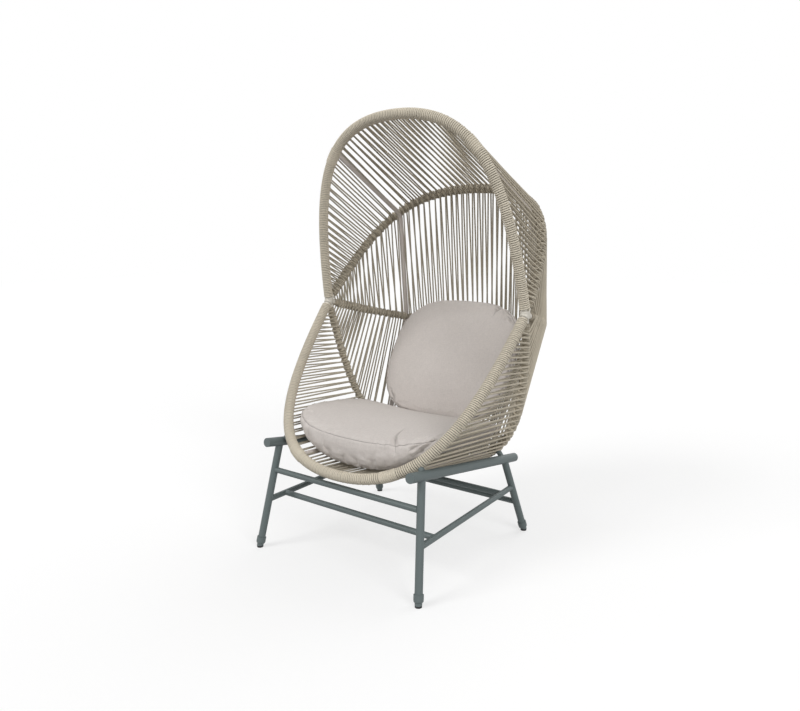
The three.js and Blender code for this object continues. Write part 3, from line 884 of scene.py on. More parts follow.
def winding_tree() -> Tree:
    """The tree that winds a cord round the line that goes in.

    Returns:
        The tree, with inputs Turns, Steps, Winding, Start, Looseness, Seed, Radius, Sides and Material.
    """
    tree = Tree("wind_cord")
    board = tree.board
    turns, steps = tree.ask("Turns", "Int"), tree.ask("Steps", "Int")
    winding, start = tree.ask("Winding", "Float"), tree.ask("Start", "Float")
    loose, seed = tree.ask("Looseness", "Float"), tree.ask("Seed", "Float")
    count = turns * steps
    line = board.value("GeometryNodeMeshLine", {"mode": "OFFSET"}, {"Count": count + 1})
    index = board.value("GeometryNodeInputIndex")
    share = index / count
    drift = share + (board.waver(share * DRIFT_WAVES + seed, 2.0) - 0.5) * DRIFT_SHARE * loose
    sample = board.add(
        "GeometryNodeSampleCurve",
        {"mode": "FACTOR", "data_type": "FLOAT", "use_all_curves": False},
        {"Curves": tree.curve, "Factor": drift.clamp()},
    )
    names = ("Position", "Tangent", "Normal")
    centre, tangent, normal = (Expr(board, sample.outputs[name]) for name in names)
    beside = board.vector("CROSS_PRODUCT", {0: tangent, 1: normal})
    angle = index / steps * (2 * math.pi) + start
    stray = board.waver(index * STRAY_WAVES + seed, 1.0) - 0.5
    reach = winding * (1.0 + stray * STRAY_SHARE * loose)
    spot = centre
    for vector, factor in ((normal, angle.cos()), (beside, angle.sin())):
        part = board.vector("SCALE", {0: vector, "Scale": factor * reach})
        spot = board.vector("ADD", {0: spot, 1: part})
    helix = board.value("GeometryNodeSetPosition", None, {"Geometry": line, "Position": spot})
    tree.sweep(board.value("GeometryNodeMeshToCurve", None, {0: helix}))
    return tree


def lay_cord(
    tree: Tree,
    paths: Sequence[Points],
    name: str,
    finish: Finish,
    radius: float,
    sides: int,
    uneven: float = 0.0,
    seed: float = 0.0,
) -> bpy.types.Object:
    """Lays a cord or a tube along each of some lines.

    Args:
        tree: the cord-laying tree.
        paths: the points of each line.
        name: the result's name.
        finish: the cord's finish.
        radius: the cord's radius.
        sides: the sides of its section.
        uneven: how far it strays from its line, at most about half of this.
        seed: the seed of its unevenness.

    Returns:
        The plain mesh object.
    """
    settings = {"Radius": radius, "Sides": sides, "Unevenness": uneven, "Seed": seed}
    return tree.apply(paths, name, {**settings, "Material": finish.material()})


class Ride(Enum):
    """The bodies that pieces move with."""

    FRAME = "frame"
    SEAT = "seat"
    BACK = "back"


def dress(
    piece: bpy.types.Object,
    finish: Finish,
    ride: Ride = Ride.FRAME,
    replaced: Sequence[str] = (),
) -> None:
    """Gives a finished piece its material and body, and hides the CAD nodes that it replaces.

    Args:
        piece: the mesh object, with its place in its mesh.
        finish: its finish.
        ride: the body that it moves with.
        replaced: the CAD nodes that it replaces.
    """
    piece.data.materials.clear()
    piece.data.materials.append(finish.material())
    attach(piece, ride.value)
    if replaced:
        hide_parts(*replaced)
    log.info("%s: %d faces", piece.name, len(piece.data.polygons))


def paint_node(node: bpy.types.Object, finish: Finish) -> None:
    """Gives a CAD node that stays its better material.

    Args:
        node: the node's object.
        finish: its finish.
    """
    if not node.material_slots:
        node.data.materials.append(finish.material())
    for slot in node.material_slots:
        slot.material = finish.material()


# The pod's lines


@dataclass
class Hoop:
    """One bent tube of the pod, from the left knuckle to the right one."""

    depth: float
    angle: float
    side: float = 0.061
    shoulder: float = 0.684
    crown: float = 0.73
    tube: float = 0.0119
    half_width: float = 0.4034
    reach: float = 0.02911
    height: float = 0.7871
    samples: int = 1500

    def __post_init__(self) -> None:
        """Works out the points along the hoop, as a Bezier curve and its mirror image."""
        turned = math.radians(self.angle)
        self.out = np.array([0.0, math.cos(turned), math.sin(turned)])
        self.flat = np.cross(ACROSS, self.out)
        t = np.linspace(0, 1, self.samples)
        shoulder = self.shoulder * self.depth
        bow = [
            (self.half_width, 0.0),
            (self.half_width - self.side * shoulder, shoulder),
            (self.crown * self.half_width, self.depth),
            (0.0, self.depth),
        ]
        weights = [(1 - t) ** 3, 3 * t * (1 - t) ** 2, 3 * t**2 * (1 - t), t**3]
        x, y = (sum(w * p[k] for w, p in zip(weights, bow)) for k in range(2))
        x = np.concatenate([-x, x[-2::-1]])
        y = np.concatenate([y, y[-2::-1]])
        base = np.array([0.0, self.reach, self.height])
        self.points = base + np.outer(x, ACROSS) + np.outer(y, self.out)
        steps = np.linalg.norm(np.diff(self.points, axis=0), axis=1)
        self.marks = np.concatenate([[0.0], np.cumsum(steps)])
        self.total = float(self.marks[-1])
        self.slopes = unit(np.gradient(self.points, self.marks, axis=0))

    def at(self, s: Union[float, Points]) -> Points:
        """The point at a distance along the hoop."""
        return np.stack([np.interp(s, self.marks, self.points[:, k]) for k in range(3)], -1)

    def tangent(self, s: Union[float, Points]) -> Points:
        """The direction of the hoop at a distance along it."""
        return unit(np.stack([np.interp(s, self.marks, self.slopes[:, k]) for k in range(3)], -1))

    def outward(self, s: Union[float, Points]) -> Points:
        """The direction in the hoop's plane that points out of it."""
        return unit(np.cross(self.flat, self.tangent(s)))

    def length_to(self, x: float) -> float:
        """Distance along the hoop from the left knuckle to where it crosses x."""
        low, high = int(np.argmin(self.points[:, 0])), int(np.argmax(self.points[:, 0]))
        return float(np.interp(x, self.points[low : high + 1, 0], self.marks[low : high + 1]))

    def shallower(self, x: Points) -> Points:
        """How much shallower the hoop is beside its middle.

        Args:
            x: places across.

        Returns:
            The difference from its full depth at each place.
        """
        left = self.points[: self.samples]
        order = np.argsort(-left[:, 0])
        depth = (left - self.points[0]) @ self.out
        return self.depth - np.interp(np.abs(x), -left[order, 0], depth[order])


class Place(Enum):
    """The five hoops of the pod."""

    HOOD = "hood_rim"
    ARCH = "rear_arch"
    WAIST = "waist_hoop"
    LOWER = "lower_hoop"
    BOWL = "bowl_rim"


Measures = dict[Place, float]


@dataclass
class PodLines:
    """The hoops of the pod and where the spines cross them, as shares of the half width."""

    hoops: dict[Place, Hoop] = field(
        default_factory=lambda: {
            Place.HOOD: Hoop(0.623, 102.0, tube=0.0152),
            Place.ARCH: Hoop(0.541, 49.0, tube=0.014),
            Place.WAIST: Hoop(0.404, -14.3, side=-0.047, shoulder=0.285, crown=0.932, tube=0.0128),
            Place.LOWER: Hoop(0.573, -77.0, tube=0.0124),
            Place.BOWL: Hoop(0.638, -131.8, tube=0.0152),
        }
    )
    spine_shares: Measures = field(
        default_factory=lambda: dict(zip(Place, (0.6478, 0.7129, 0.6787, 0.5503, 0.4214)))
    )

    def spine_x(self, place: Place) -> float:
        """How far from the middle the spines cross a hoop."""
        return self.spine_shares[place] * self.hoops[place].half_width

    def is_rim(self, place: Place) -> bool:
        """Whether a hoop is one of the two wrapped rims."""
        return place in (Place.HOOD, Place.BOWL)


# Sub-assemblies of the pod


def shade_grooves(coil: bpy.types.Object, steps: int, sides: int, cord: float) -> None:
    """Marks the flanks of wound cord, where its turns lie side by side, with painted shade for the material
    to darken.

    Args:
        coil: the swept winding, one ring of points after another.
        steps: rings in one turn.
        sides: points in one ring.
        cord: the cord's radius.
    """
    rings = read(coil).reshape(-1, sides, 3)
    middles = rings.mean(axis=1)
    total = np.vstack([np.zeros(3), np.cumsum(middles, axis=0)])
    first = np.clip(np.arange(len(middles)) - steps // 2, 0, len(middles) - steps)
    line = (total[first + steps] - total[first]) / steps
    crest = np.einsum("rsk,rk->rs", rings - middles[:, None], unit(middles - line)) / cord
    carry(coil, "shade", GROOVE_SHADE * np.clip(1.0 - crest.ravel() / GROOVE_CREST, 0.0, 1.0))


@dataclass(frozen=True)
class Coil:
    """Cord wound round a stretch of a hoop."""

    finish: Finish
    cord: float
    pitch: float
    steps: int
    sides: int
    samples: int
    looseness: float
    start: float = 0.0

    def path(self, hoop: Hoop, stretch: tuple[float, float]) -> Points:
        """The points of the stretch."""
        return hoop.at(np.linspace(*stretch, self.samples))

    def wind(
        self,
        tree: Tree,
        hoop: Hoop,
        stretch: tuple[float, float],
        winding: float,
        seed: float,
        name: str = "coil",
    ) -> bpy.types.Object:
        """Winds the cord and paints shade into its grooves.

        Args:
            tree: the winding tree.
            hoop: the hoop.
            stretch: where the winding starts and ends, along the hoop.
            winding: the radius at which the cord's middle runs.
            seed: the seed of its unevenness.
            name: the result's name.

        Returns:
            The plain mesh object.
        """
        settings = {
            "Turns": round((stretch[1] - stretch[0]) / self.pitch),
            "Steps": self.steps,
            "Winding": winding,
            "Radius": self.cord,
            "Sides": self.sides,
            "Start": self.start,
            "Looseness": self.looseness,
            "Seed": seed,
            "Material": self.finish.material(),
        }
        coil = tree.apply([self.path(hoop, stretch)], name, settings)
        shade_grooves(coil, self.steps, self.sides, self.cord)
        return coil


@dataclass
class RimWraps:
    """The cord wound close round the two rims, with the rim tubes inside."""

    lines: PodLines
    starts: Measures = field(default_factory=lambda: {Place.HOOD: 0.0172, Place.BOWL: 0.0195})
    seeds: Measures = field(default_factory=lambda: {Place.HOOD: 3.0, Place.BOWL: 8.0})
    winding: float = 0.0141
    coil: Coil = Coil(RIM_CORD, cord=0.0029, pitch=0.0064, steps=22, sides=6, samples=260, looseness=0.4)

    def build(self, tree: Tree, nodes: Nodes) -> None:
        """Winds and dresses both rims, and paints the tubes inside dark, as painted shade between the turns.

        Args:
            tree: the winding tree.
            nodes: the CAD nodes.
        """
        for place, start in self.starts.items():
            hoop = self.lines.hoops[place]
            stretch = (start, hoop.total - start)
            name = f"{place.value}_winding"
            piece = self.coil.wind(tree, hoop, stretch, self.winding, self.seeds[place], name)
            dress(piece, RIM_CORD, replaced=[f"{place.value}_wrap"])
            # Its dark colour is painted shade for the gaps between the wound turns.
            paint_node(nodes[place.value], CORE_PAINT_AND_SHADE)


@dataclass
class WoundHoops:
    """The three inner hoops, wound close with cord before the strands are hooked round them."""

    lines: PodLines
    seeds: Measures = field(
        default_factory=lambda: {Place.ARCH: 11.0, Place.WAIST: 18.0, Place.LOWER: 25.0}
    )
    start: float = 0.0275
    under: float = 0.0028
    tube_sides: int = 12
    coil: Coil = Coil(KNOT_CORD, cord=0.0027, pitch=0.0057, steps=11, sides=6, samples=220, looseness=1.6)

    def build(self, wind: Tree, lay: Tree) -> None:
        """Winds and dresses the three hoops.

        Args:
            wind: the winding tree.
            lay: the cord-laying tree, for the tube inside.
        """
        for place, seed in self.seeds.items():
            hoop = self.lines.hoops[place]
            core = hoop.tube - self.under
            stretch = (self.start, hoop.total - self.start)
            coil = self.coil.wind(wind, hoop, stretch, core, seed)
            path = self.coil.path(hoop, stretch)
            tube = lay_cord(lay, [path], "tube", KNOT_CORD, core, self.tube_sides)
            # The tube inside shows between the turns and gets full painted shade.
            carry(tube, "shade", np.ones(len(tube.data.vertices)))
            piece = join_pieces([coil, tube], f"{place.value}_winding")
            dress(piece, KNOT_CORD, replaced=[place.value])


@dataclass
class SpineLashings:
    """The extra turns of rim cord that lash the ends of the spines to the two rims."""

    lines: PodLines
    half_length: float = 0.026
    beyond: float = 0.012
    winding: float = 0.0158
    seed: float = 5.0
    coil: Coil = Coil(
        RIM_CORD, cord=0.0029, pitch=0.0062, steps=14, sides=7, samples=24, looseness=1.0, start=2.0
    )

    def build(self, tree: Tree) -> None:
        """Winds and dresses the lashings, one piece for each rim.

        Args:
            tree: the winding tree.
        """
        for place in (Place.HOOD, Place.BOWL):
            hoop = self.lines.hoops[place]
            parts = []
            for side in (-1, 1):
                middle = hoop.length_to(side * (self.lines.spine_x(place) + self.beyond))
                stretch = (middle - self.half_length, middle + self.half_length)
                parts.append(self.coil.wind(tree, hoop, stretch, self.winding, self.seed + side))
            dress(join_pieces(parts, f"{place.value}_lashing"), RIM_CORD)


class Layer(Enum):
    """The two layers of strands of a panel, by the side of the hoops that they pass."""

    OUTER = 1.0
    INNER = -1.0


@dataclass(frozen=True)
class Hook:
    """How a strand goes round a hoop: where it leaves the tube, and the turn that it has made before."""

    leaves: float
    sweep: float
    sunk: float
    slant: float


@dataclass(frozen=True)
class Panel:
    """A strung panel between two hoops, and how each layer is shifted along them."""

    name: str
    first: Place
    second: Place
    shifts: tuple[float, float]
    proud: tuple[float, float]


@dataclass
class StrungPanels:
    """The two layers of cord strung between the hoops, each strand hooked round the hoops it meets."""

    lines: PodLines
    cord: float = 0.00285
    sides: int = 6
    unevenness: float = 0.0014
    uneven_seed: float = 2.0
    pitch: float = 0.022
    knuckle_margin: float = 0.052
    spine_margin: float = 0.0155
    crowding: float = 0.3
    rim_split: float = 0.0045
    split_gain: float = 3.0
    side_by_side: float = 0.0026
    side_proud_share: float = 0.35
    rim_hooks: dict[Layer, Hook] = field(
        default_factory=lambda: {
            Layer.OUTER: Hook(32.0, 62.0, 0.0026, 0.0015),
            Layer.INNER: Hook(66.0, 50.0, 0.0026, 0.0015),
        }
    )
    hoop_hook: Hook = Hook(0.0, 255.0, 0.0028, 0.0105)
    sink_share: float = 0.45
    sink_power: float = 1.3
    arc_step: float = 24.0
    straight_steps: int = 4
    scatter: float = 0.0007
    seed: int = 20
    # Painted shade for each layer: the inner strands are darker, for the shadow of the outer layer and the
    # pod.
    shades: dict[Layer, float] = field(default_factory=lambda: {Layer.OUTER: 0.0, Layer.INNER: 0.5})
    panels: tuple[Panel, ...] = (
        Panel("hood", Place.HOOD, Place.ARCH, (0.0, -2.0), (0.0, 0.0)),
        Panel("back", Place.ARCH, Place.WAIST, (1.0, -0.8), (0.0022, 0.0)),
        Panel("lumbar", Place.WAIST, Place.LOWER, (1.0, 0.2), (0.0012, 0.001)),
        Panel("seat", Place.LOWER, Place.BOWL, (-1.8, 0.0), (0.0, 0.0)),
    )

    def spans(self, place: Place) -> dict[str, tuple[float, float]]:
        """Where the strands of each section stand on a hoop.

        Args:
            place: the hoop.

        Returns:
            First and last distance along the hoop, by section.
        """
        total = self.lines.hoops[place].total
        crossing = self.lines.hoops[place].length_to(-self.lines.spine_x(place))
        return {
            "left": (self.knuckle_margin, crossing - self.spine_margin),
            "centre": (crossing + self.spine_margin, total - crossing - self.spine_margin),
            "right": (total - self.knuckle_margin, total - crossing + self.spine_margin),
        }

    def turn(
        self, hoop: Hoop, s: float, normal: Points, square: Points, hook: Hook, proud: float
    ) -> Points:
        """The turn that a strand makes round a hoop before it leaves for the next one.

        Args:
            hoop: the hoop.
            s: where the strand leaves, along the hoop.
            normal: the side of the tube that the strand passes.
            square: the direction to the next hoop, square to this one.
            hook: the turn's measures.
            proud: how much higher it lies, over the turns of the panel strung before.

        Returns:
            The points, from the hidden end to the point where it leaves.
        """
        steps = max(3, round(hook.sweep / self.arc_step))
        share = np.linspace(1, 0, steps + 1)
        angle = np.radians(hook.leaves - hook.sweep * share)
        hidden = np.clip((share - (1 - self.sink_share)) / self.sink_share, 0, 1)
        reach = hoop.tube + proud - hook.sunk * hidden**self.sink_power
        centre = hoop.at(s + hook.slant * share)
        return centre + np.outer(reach * np.cos(angle), normal) + np.outer(reach * np.sin(angle), square)

    def strand(self, panel: Panel, leaves: Sequence[float], layer: Layer) -> Points:
        """One strand with the hooks at both its ends.

        Args:
            panel: the panel that it belongs to.
            leaves: where it leaves the first hoop and reaches the second.
            layer: the side of the hoops that it passes.

        Returns:
            The strand's points.
        """
        hooped = (panel.first, panel.second)
        hoops = [self.lines.hoops[place] for place in hooped]
        across = unit(hoops[1].at(leaves[1]) - hoops[0].at(leaves[0]))
        ends = []
        for place, hoop, s, aim, proud in zip(hooped, hoops, leaves, (across, -across), panel.proud):
            tangent = hoop.tangent(s)
            hook = self.hoop_hook
            if self.lines.is_rim(place):
                hook = self.rim_hooks[layer]
                s = s - layer.value * self.rim_split * math.tanh(self.split_gain * float(aim @ tangent))
            normal = unit(np.cross(tangent, aim))
            if normal @ hoop.outward(s) < 0:
                normal = -normal
            square = unit(aim - tangent * (aim @ tangent))
            if abs(float(hoop.at(s)[0])) >= self.lines.spine_x(place):
                proud *= self.side_proud_share
            ends.append(self.turn(hoop, s, layer.value * normal, square, hook, proud))
        between = np.linspace(0, 1, self.straight_steps + 1)[1:-1, None]
        straight = ends[0][-1] * (1 - between) + ends[1][-1] * between
        return np.concatenate([ends[0], straight, ends[1][::-1]])

    def section(self, panel: Panel, section: str, rng: np.random.Generator) -> dict[Layer, list[Points]]:
        """All strands of one section of a panel.

        Args:
            panel: the panel.
            section: left, centre or right.
            rng: the seeded source of small unevenness.

        Returns:
            The strands of each layer.
        """
        hooped = (panel.first, panel.second)
        spans = [self.spans(place)[section] for place in hooped]
        mean = sum(abs(high - low) for low, high in spans) / 2
        count = round(mean / self.pitch)
        crowding = 0.0 if section == "centre" else self.crowding
        strands: dict[Layer, list[Points]] = {layer: [] for layer in Layer}
        for i in range(count + 1):
            u = i / count
            u = u * (1 - crowding) + u * u * crowding
            for layer in Layer:
                leaves = []
                for place, (low, high), shift in zip(hooped, spans, panel.shifts):
                    aside = -(high - low) / count / 4 * shift
                    if self.lines.is_rim(place):
                        aside = math.copysign(self.side_by_side, high - low)
                    uneven = float(rng.normal(0, self.scatter))
                    leaves.append(low + (high - low) * u + layer.value * aside + uneven)
                strands[layer].append(self.strand(panel, leaves, layer))
        return strands

    def build(self, tree: Tree) -> None:
        """Strings and dresses every section of the four panels.

        Args:
            tree: the cord-laying tree.
        """
        rng = np.random.default_rng(self.seed)
        strand = (PANEL_CORD, self.cord, self.sides, self.unevenness, self.uneven_seed)
        for panel in self.panels:
            for section in ("left", "centre", "right"):
                parts = []
                for layer, paths in self.section(panel, section, rng).items():
                    part = lay_cord(tree, paths, "strands", *strand)
                    # Each layer carries its painted shade for the cord's material.
                    carry(part, "shade", np.full(len(part.data.vertices), self.shades[layer]))
                    parts.append(part)
                piece = join_pieces(parts, f"{panel.name}_strands_{section}")
                dress(piece, PANEL_CORD, replaced=[f"{panel.name}_cords_{section}"])


@dataclass
class Spines:
    """The bent tube on each side that runs over the inner hoops from rim to rim."""

    lines: PodLines
    radius: float = 0.0087
    sides: int = 20
    inwards: Measures = field(
        default_factory=lambda: dict(zip(Place, (0.004, 0.0125, -0.006, -0.002, 0.002)))
    )
    bend: float = 0.02
    bend_points: int = 7
    stood_for: tuple[str, ...] = ("hood_spine", "back_spine", "lumbar_spine", "seat_runner")

    def path(self, side: int) -> Points:
        """The centre line of one spine.

        Args:
            side: -1 for left and 1 for right.

        Returns:
            Its points from the hood rim to the bowl rim.
        """
        knots = []
        for place in Place:
            hoop = self.lines.hoops[place]
            s = hoop.length_to(side * self.lines.spine_x(place))
            knots.append(hoop.at(s) - hoop.outward(s) * self.inwards[place])
        points = [knots[0]]
        for before, knot, after in zip(knots, knots[1:], knots[2:]):
            start = knot + unit(before - knot) * self.bend
            end = knot + unit(after - knot) * self.bend
            for t in np.linspace(0, 1, self.bend_points):
                points.append((1 - t) ** 2 * start + 2 * t * (1 - t) * knot + t**2 * end)
        points.append(knots[-1])
        return np.array(points)

    def build(self, tree: Tree) -> None:
        """Bends and dresses both spines.

        Args:
            tree: the cord-laying tree, which also sweeps tube.
        """
        for side, word in ((-1, "left"), (1, "right")):
            path = self.path(side)
            piece = lay_cord(tree, [path], f"spine_tube_{word}", SPINE_PAINT, self.radius, self.sides)
            dress(piece, SPINE_PAINT, replaced=[f"{name}_{word}" for name in self.stood_for])


@dataclass
class Knuckles:
    """The two cast knuckles in which all five hoops end, with the soft edges of a casting."""

    voxel: float = 0.0014
    softening: float = 0.5
    rounds: int = 14

    def build(self, nodes: Nodes) -> None:
        """Makes and dresses both knuckles.

        Args:
            nodes: the CAD nodes.
        """
        for node in ("knuckle_left", "knuckle_right"):
            piece = copied(nodes[node], f"{node}_casting")
            modify(piece, "REMESH", mode="VOXEL", voxel_size=self.voxel)
            modify(piece, "SMOOTH", factor=self.softening, iterations=self.rounds)
            smooth(piece, 180.0)
            dress(piece, KNUCKLE_PAINT, replaced=[node])


# The base


@dataclass
class Base:
    """The welded base: rails, legs, bars, feet and the brackets under the pod."""

    bars: tuple[str, ...] = ("front_upper_bar", "rear_lower_bar", "front_lower_bar", "rear_upper_bar")
    paired: tuple[str, ...] = ("rail", "rail_front_cap", "rail_rear_cap", "side_stretcher")
    cornered: tuple[str, ...] = ("leg", "foot_collar", "pod_bracket")

    def build(self, nodes: Nodes) -> None:
        """Paints the base's CAD nodes.

        Args:
            nodes: the CAD nodes.
        """
        steel, rubber = list(self.bars), []
        for side in ("left", "right"):
            steel += [f"{name}_{side}" for name in self.paired]
            for end in ("front", "rear"):
                steel += [f"{end}_{name}_{side}" for name in self.cornered]
                rubber.append(f"{end}_glide_{side}")
        for name in steel:
            paint_node(nodes[name], BASE_PAINT)
        for name in rubber:
            paint_node(nodes[name], GLIDE_RUBBER)
        log.info("base: %d nodes painted", len(steel) + len(rubber))


# Cushions

NOT_NEAR = 0.05
CLOTH = {
    "use_pressure": True,
    "quality": 4,
    "mass": 0.3,
    "tension_stiffness": 15,
    "compression_stiffness": 15,
    "bending_stiffness": 0.3,
}


def bell(away: Union[float, Points], width: float) -> Union[float, Points]:
    """1 where something is, and nearly 0 two widths away from it."""
    return np.exp(-((away / width) ** 2))


def capped(vectors: Points, longest: float) -> Points:
    """Vectors with the longer ones shortened to a length."""
    lengths = np.linalg.norm(vectors, axis=1, keepdims=True)
    return vectors * np.minimum(1, longest / np.maximum(lengths, 1e-9))


@dataclass
class Bed:
    """The strung surface that a cushion lies on, between two hoops and on towards a third."""

    first: Hoop
    second: Hoop
    beyond: Hoop
    slope_step: float = 0.00275

    def __post_init__(self) -> None:
        """Works out the bed's start, its directions and its rise to the sides."""
        middle = [hoop.at(hoop.total / 2) for hoop in (self.first, self.second, self.beyond)]
        self.start = middle[0]
        self.span = float(np.linalg.norm(middle[1] - middle[0]))
        self.along = unit(middle[1] - middle[0])
        self.up = unit(np.cross(ACROSS, self.along))
        if self.up @ self.first.out > 0:
            self.up = -self.up
        self.steep = [abs(float(self.up @ hoop.out)) for hoop in (self.first, self.second)]
        onward = middle[2] - middle[1]
        self.bend = float(onward @ self.up) / float(onward @ self.along)

    def rise(self, x: Points, s: Points) -> Points:
        """How high the strung surface lies over its middle line.

        Args:
            x: places across.
            s: distances along the bed.

        Returns:
            The heights.
        """
        share = np.clip(s / self.span, 0, 1)
        rises = [steep * hoop.shallower(x) for steep, hoop in zip(self.steep, (self.first, self.second))]
        return rises[0] * (1 - share) + rises[1] * share + self.bend * np.maximum(s - self.span, 0)

    def slope(self, x: Points, s: Points) -> Points:
        """How steeply the strung surface rises to the side."""
        step = self.slope_step
        return (self.rise(x + step, s) - self.rise(x - step, s)) / (2 * step)

    def point(self, x: Points, s: Points, height: Points, lean: float) -> Points:
        """Points over the strung surface.

        Args:
            x: places across.
            s: distances along the bed.
            height: heights over the strung surface.
            lean: how much of the surface's slope the height follows.

        Returns:
            The points in the frame.
        """
        side = np.outer(-lean * self.slope(x, s), ACROSS)
        base = self.start + np.outer(s, self.along) + np.outer(self.rise(x, s), self.up)
        base[:, 0] = x
        return base + unit(self.up + side) * height[:, None]

    def turned(self, vectors: Points) -> Points:
        """Vectors of the frame as their parts across, along and up from the bed."""
        return np.stack([vectors[:, 0], vectors @ self.along, vectors @ self.up], -1)

    def measure(self, points: Points) -> tuple[Points, Points, Points]:
        """Places across and along the bed and heights over the strung surface."""
        x, s, up = self.turned(points - self.start).T
        return x, s, up - self.rise(x, s)


@dataclass(frozen=True)
class Fold:
    """A crease in the cloth, along a line of points in the frame, with a ridge on one side of it."""

    points: tuple[tuple[float, float, float], ...]
    depth: float = 0.012
    width: float = 0.009
    shoulder: float = 0.004
    side: float = 1.0
    samples: int = 60
    reach: float = 0.09
    ridge_place: float = 1.9
    ridge_width: float = 1.2
    tip: float = 0.03
    fade_power: float = 0.6
    sharp: float = 0.01
    end_slack: float = 0.002

    def trace(self, points: Points, normals: Points) -> tuple[Points, Points]:
        """Follows the crease over the cover.

        Args:
            points: the cover's points.
            normals: their normals.

        Returns:
            How far each point moves along its normal, and its signed distance to a sharp crease's line.
        """
        line = np.array(self.points)
        fine = np.linspace(0, 1, self.samples)
        dense = np.stack([np.interp(fine, np.linspace(0, 1, len(line)), line[:, k]) for k in range(3)], -1)
        course = unit(np.gradient(dense, axis=0))
        shifts, lines = np.zeros(len(points)), np.full(len(points), NOT_NEAR)
        gaps = np.linalg.norm(points[:, None] - line[None], axis=-1)
        near = np.where(np.min(gaps, axis=1) < self.reach)[0]
        closest = np.argmin(np.linalg.norm(points[near][:, None] - dense[None], axis=-1), axis=1)
        away = points[near] - dense[closest]
        away -= normals[near] * np.sum(away * normals[near], axis=1, keepdims=True)
        gap = np.linalg.norm(away, axis=1)
        signed = np.sum(away * np.cross(course[closest], normals[near]), axis=1) * self.side
        fade = np.sin(np.pi * np.clip(fine[closest], self.tip, 1 - self.tip)) ** self.fade_power
        ridge = bell(signed - self.ridge_place * self.width, self.ridge_width * self.width)
        ridge = ridge * np.exp(-np.maximum(gap - np.abs(signed), 0) / self.width)
        shifts[near] = (self.shoulder * ridge - self.depth * bell(gap, self.width)) * fade
        if self.width < self.sharp:
            lines[near] = np.where(gap > np.abs(signed) + self.end_slack, gap, signed) / fade
        return shifts, lines


@dataclass(frozen=True)
class Seam:
    """The seam sewn round a cushion's top, with the cloth rolled and gathered beside it."""

    out: float = 0.985
    samples: int = 900
    reach: float = 0.045
    depth: float = 0.0026
    width: float = 0.003
    roll: float = 0.0007
    roll_place: float = 0.009
    roll_width: float = 0.006
    gather: float = 0.0008
    gather_place: float = 0.008
    gather_width: float = 0.009
    fine_waves: float = 410.0
    sway_waves: float = 57.0
    broad_waves: float = 131.0
    sway: float = 2.4
    phase: float = 1.0

    def shift(self, gap: float, run: float) -> float:
        """How far a point of the cloth moves out.

        Args:
            gap: its distance from the seam.
            run: its place along the seam.

        Returns:
            The distance in metres.
        """
        fine = math.sin(run * self.fine_waves + self.sway * math.sin(run * self.sway_waves))
        gather = fine * math.sin(run * self.broad_waves + self.phase)
        drawn = -self.depth * bell(gap, self.width)
        rolled = self.roll * bell(gap - self.roll_place, self.roll_width)
        gathered = self.gather * gather * bell(gap - self.gather_place, self.gather_width)
        return float(drawn + rolled + gathered)


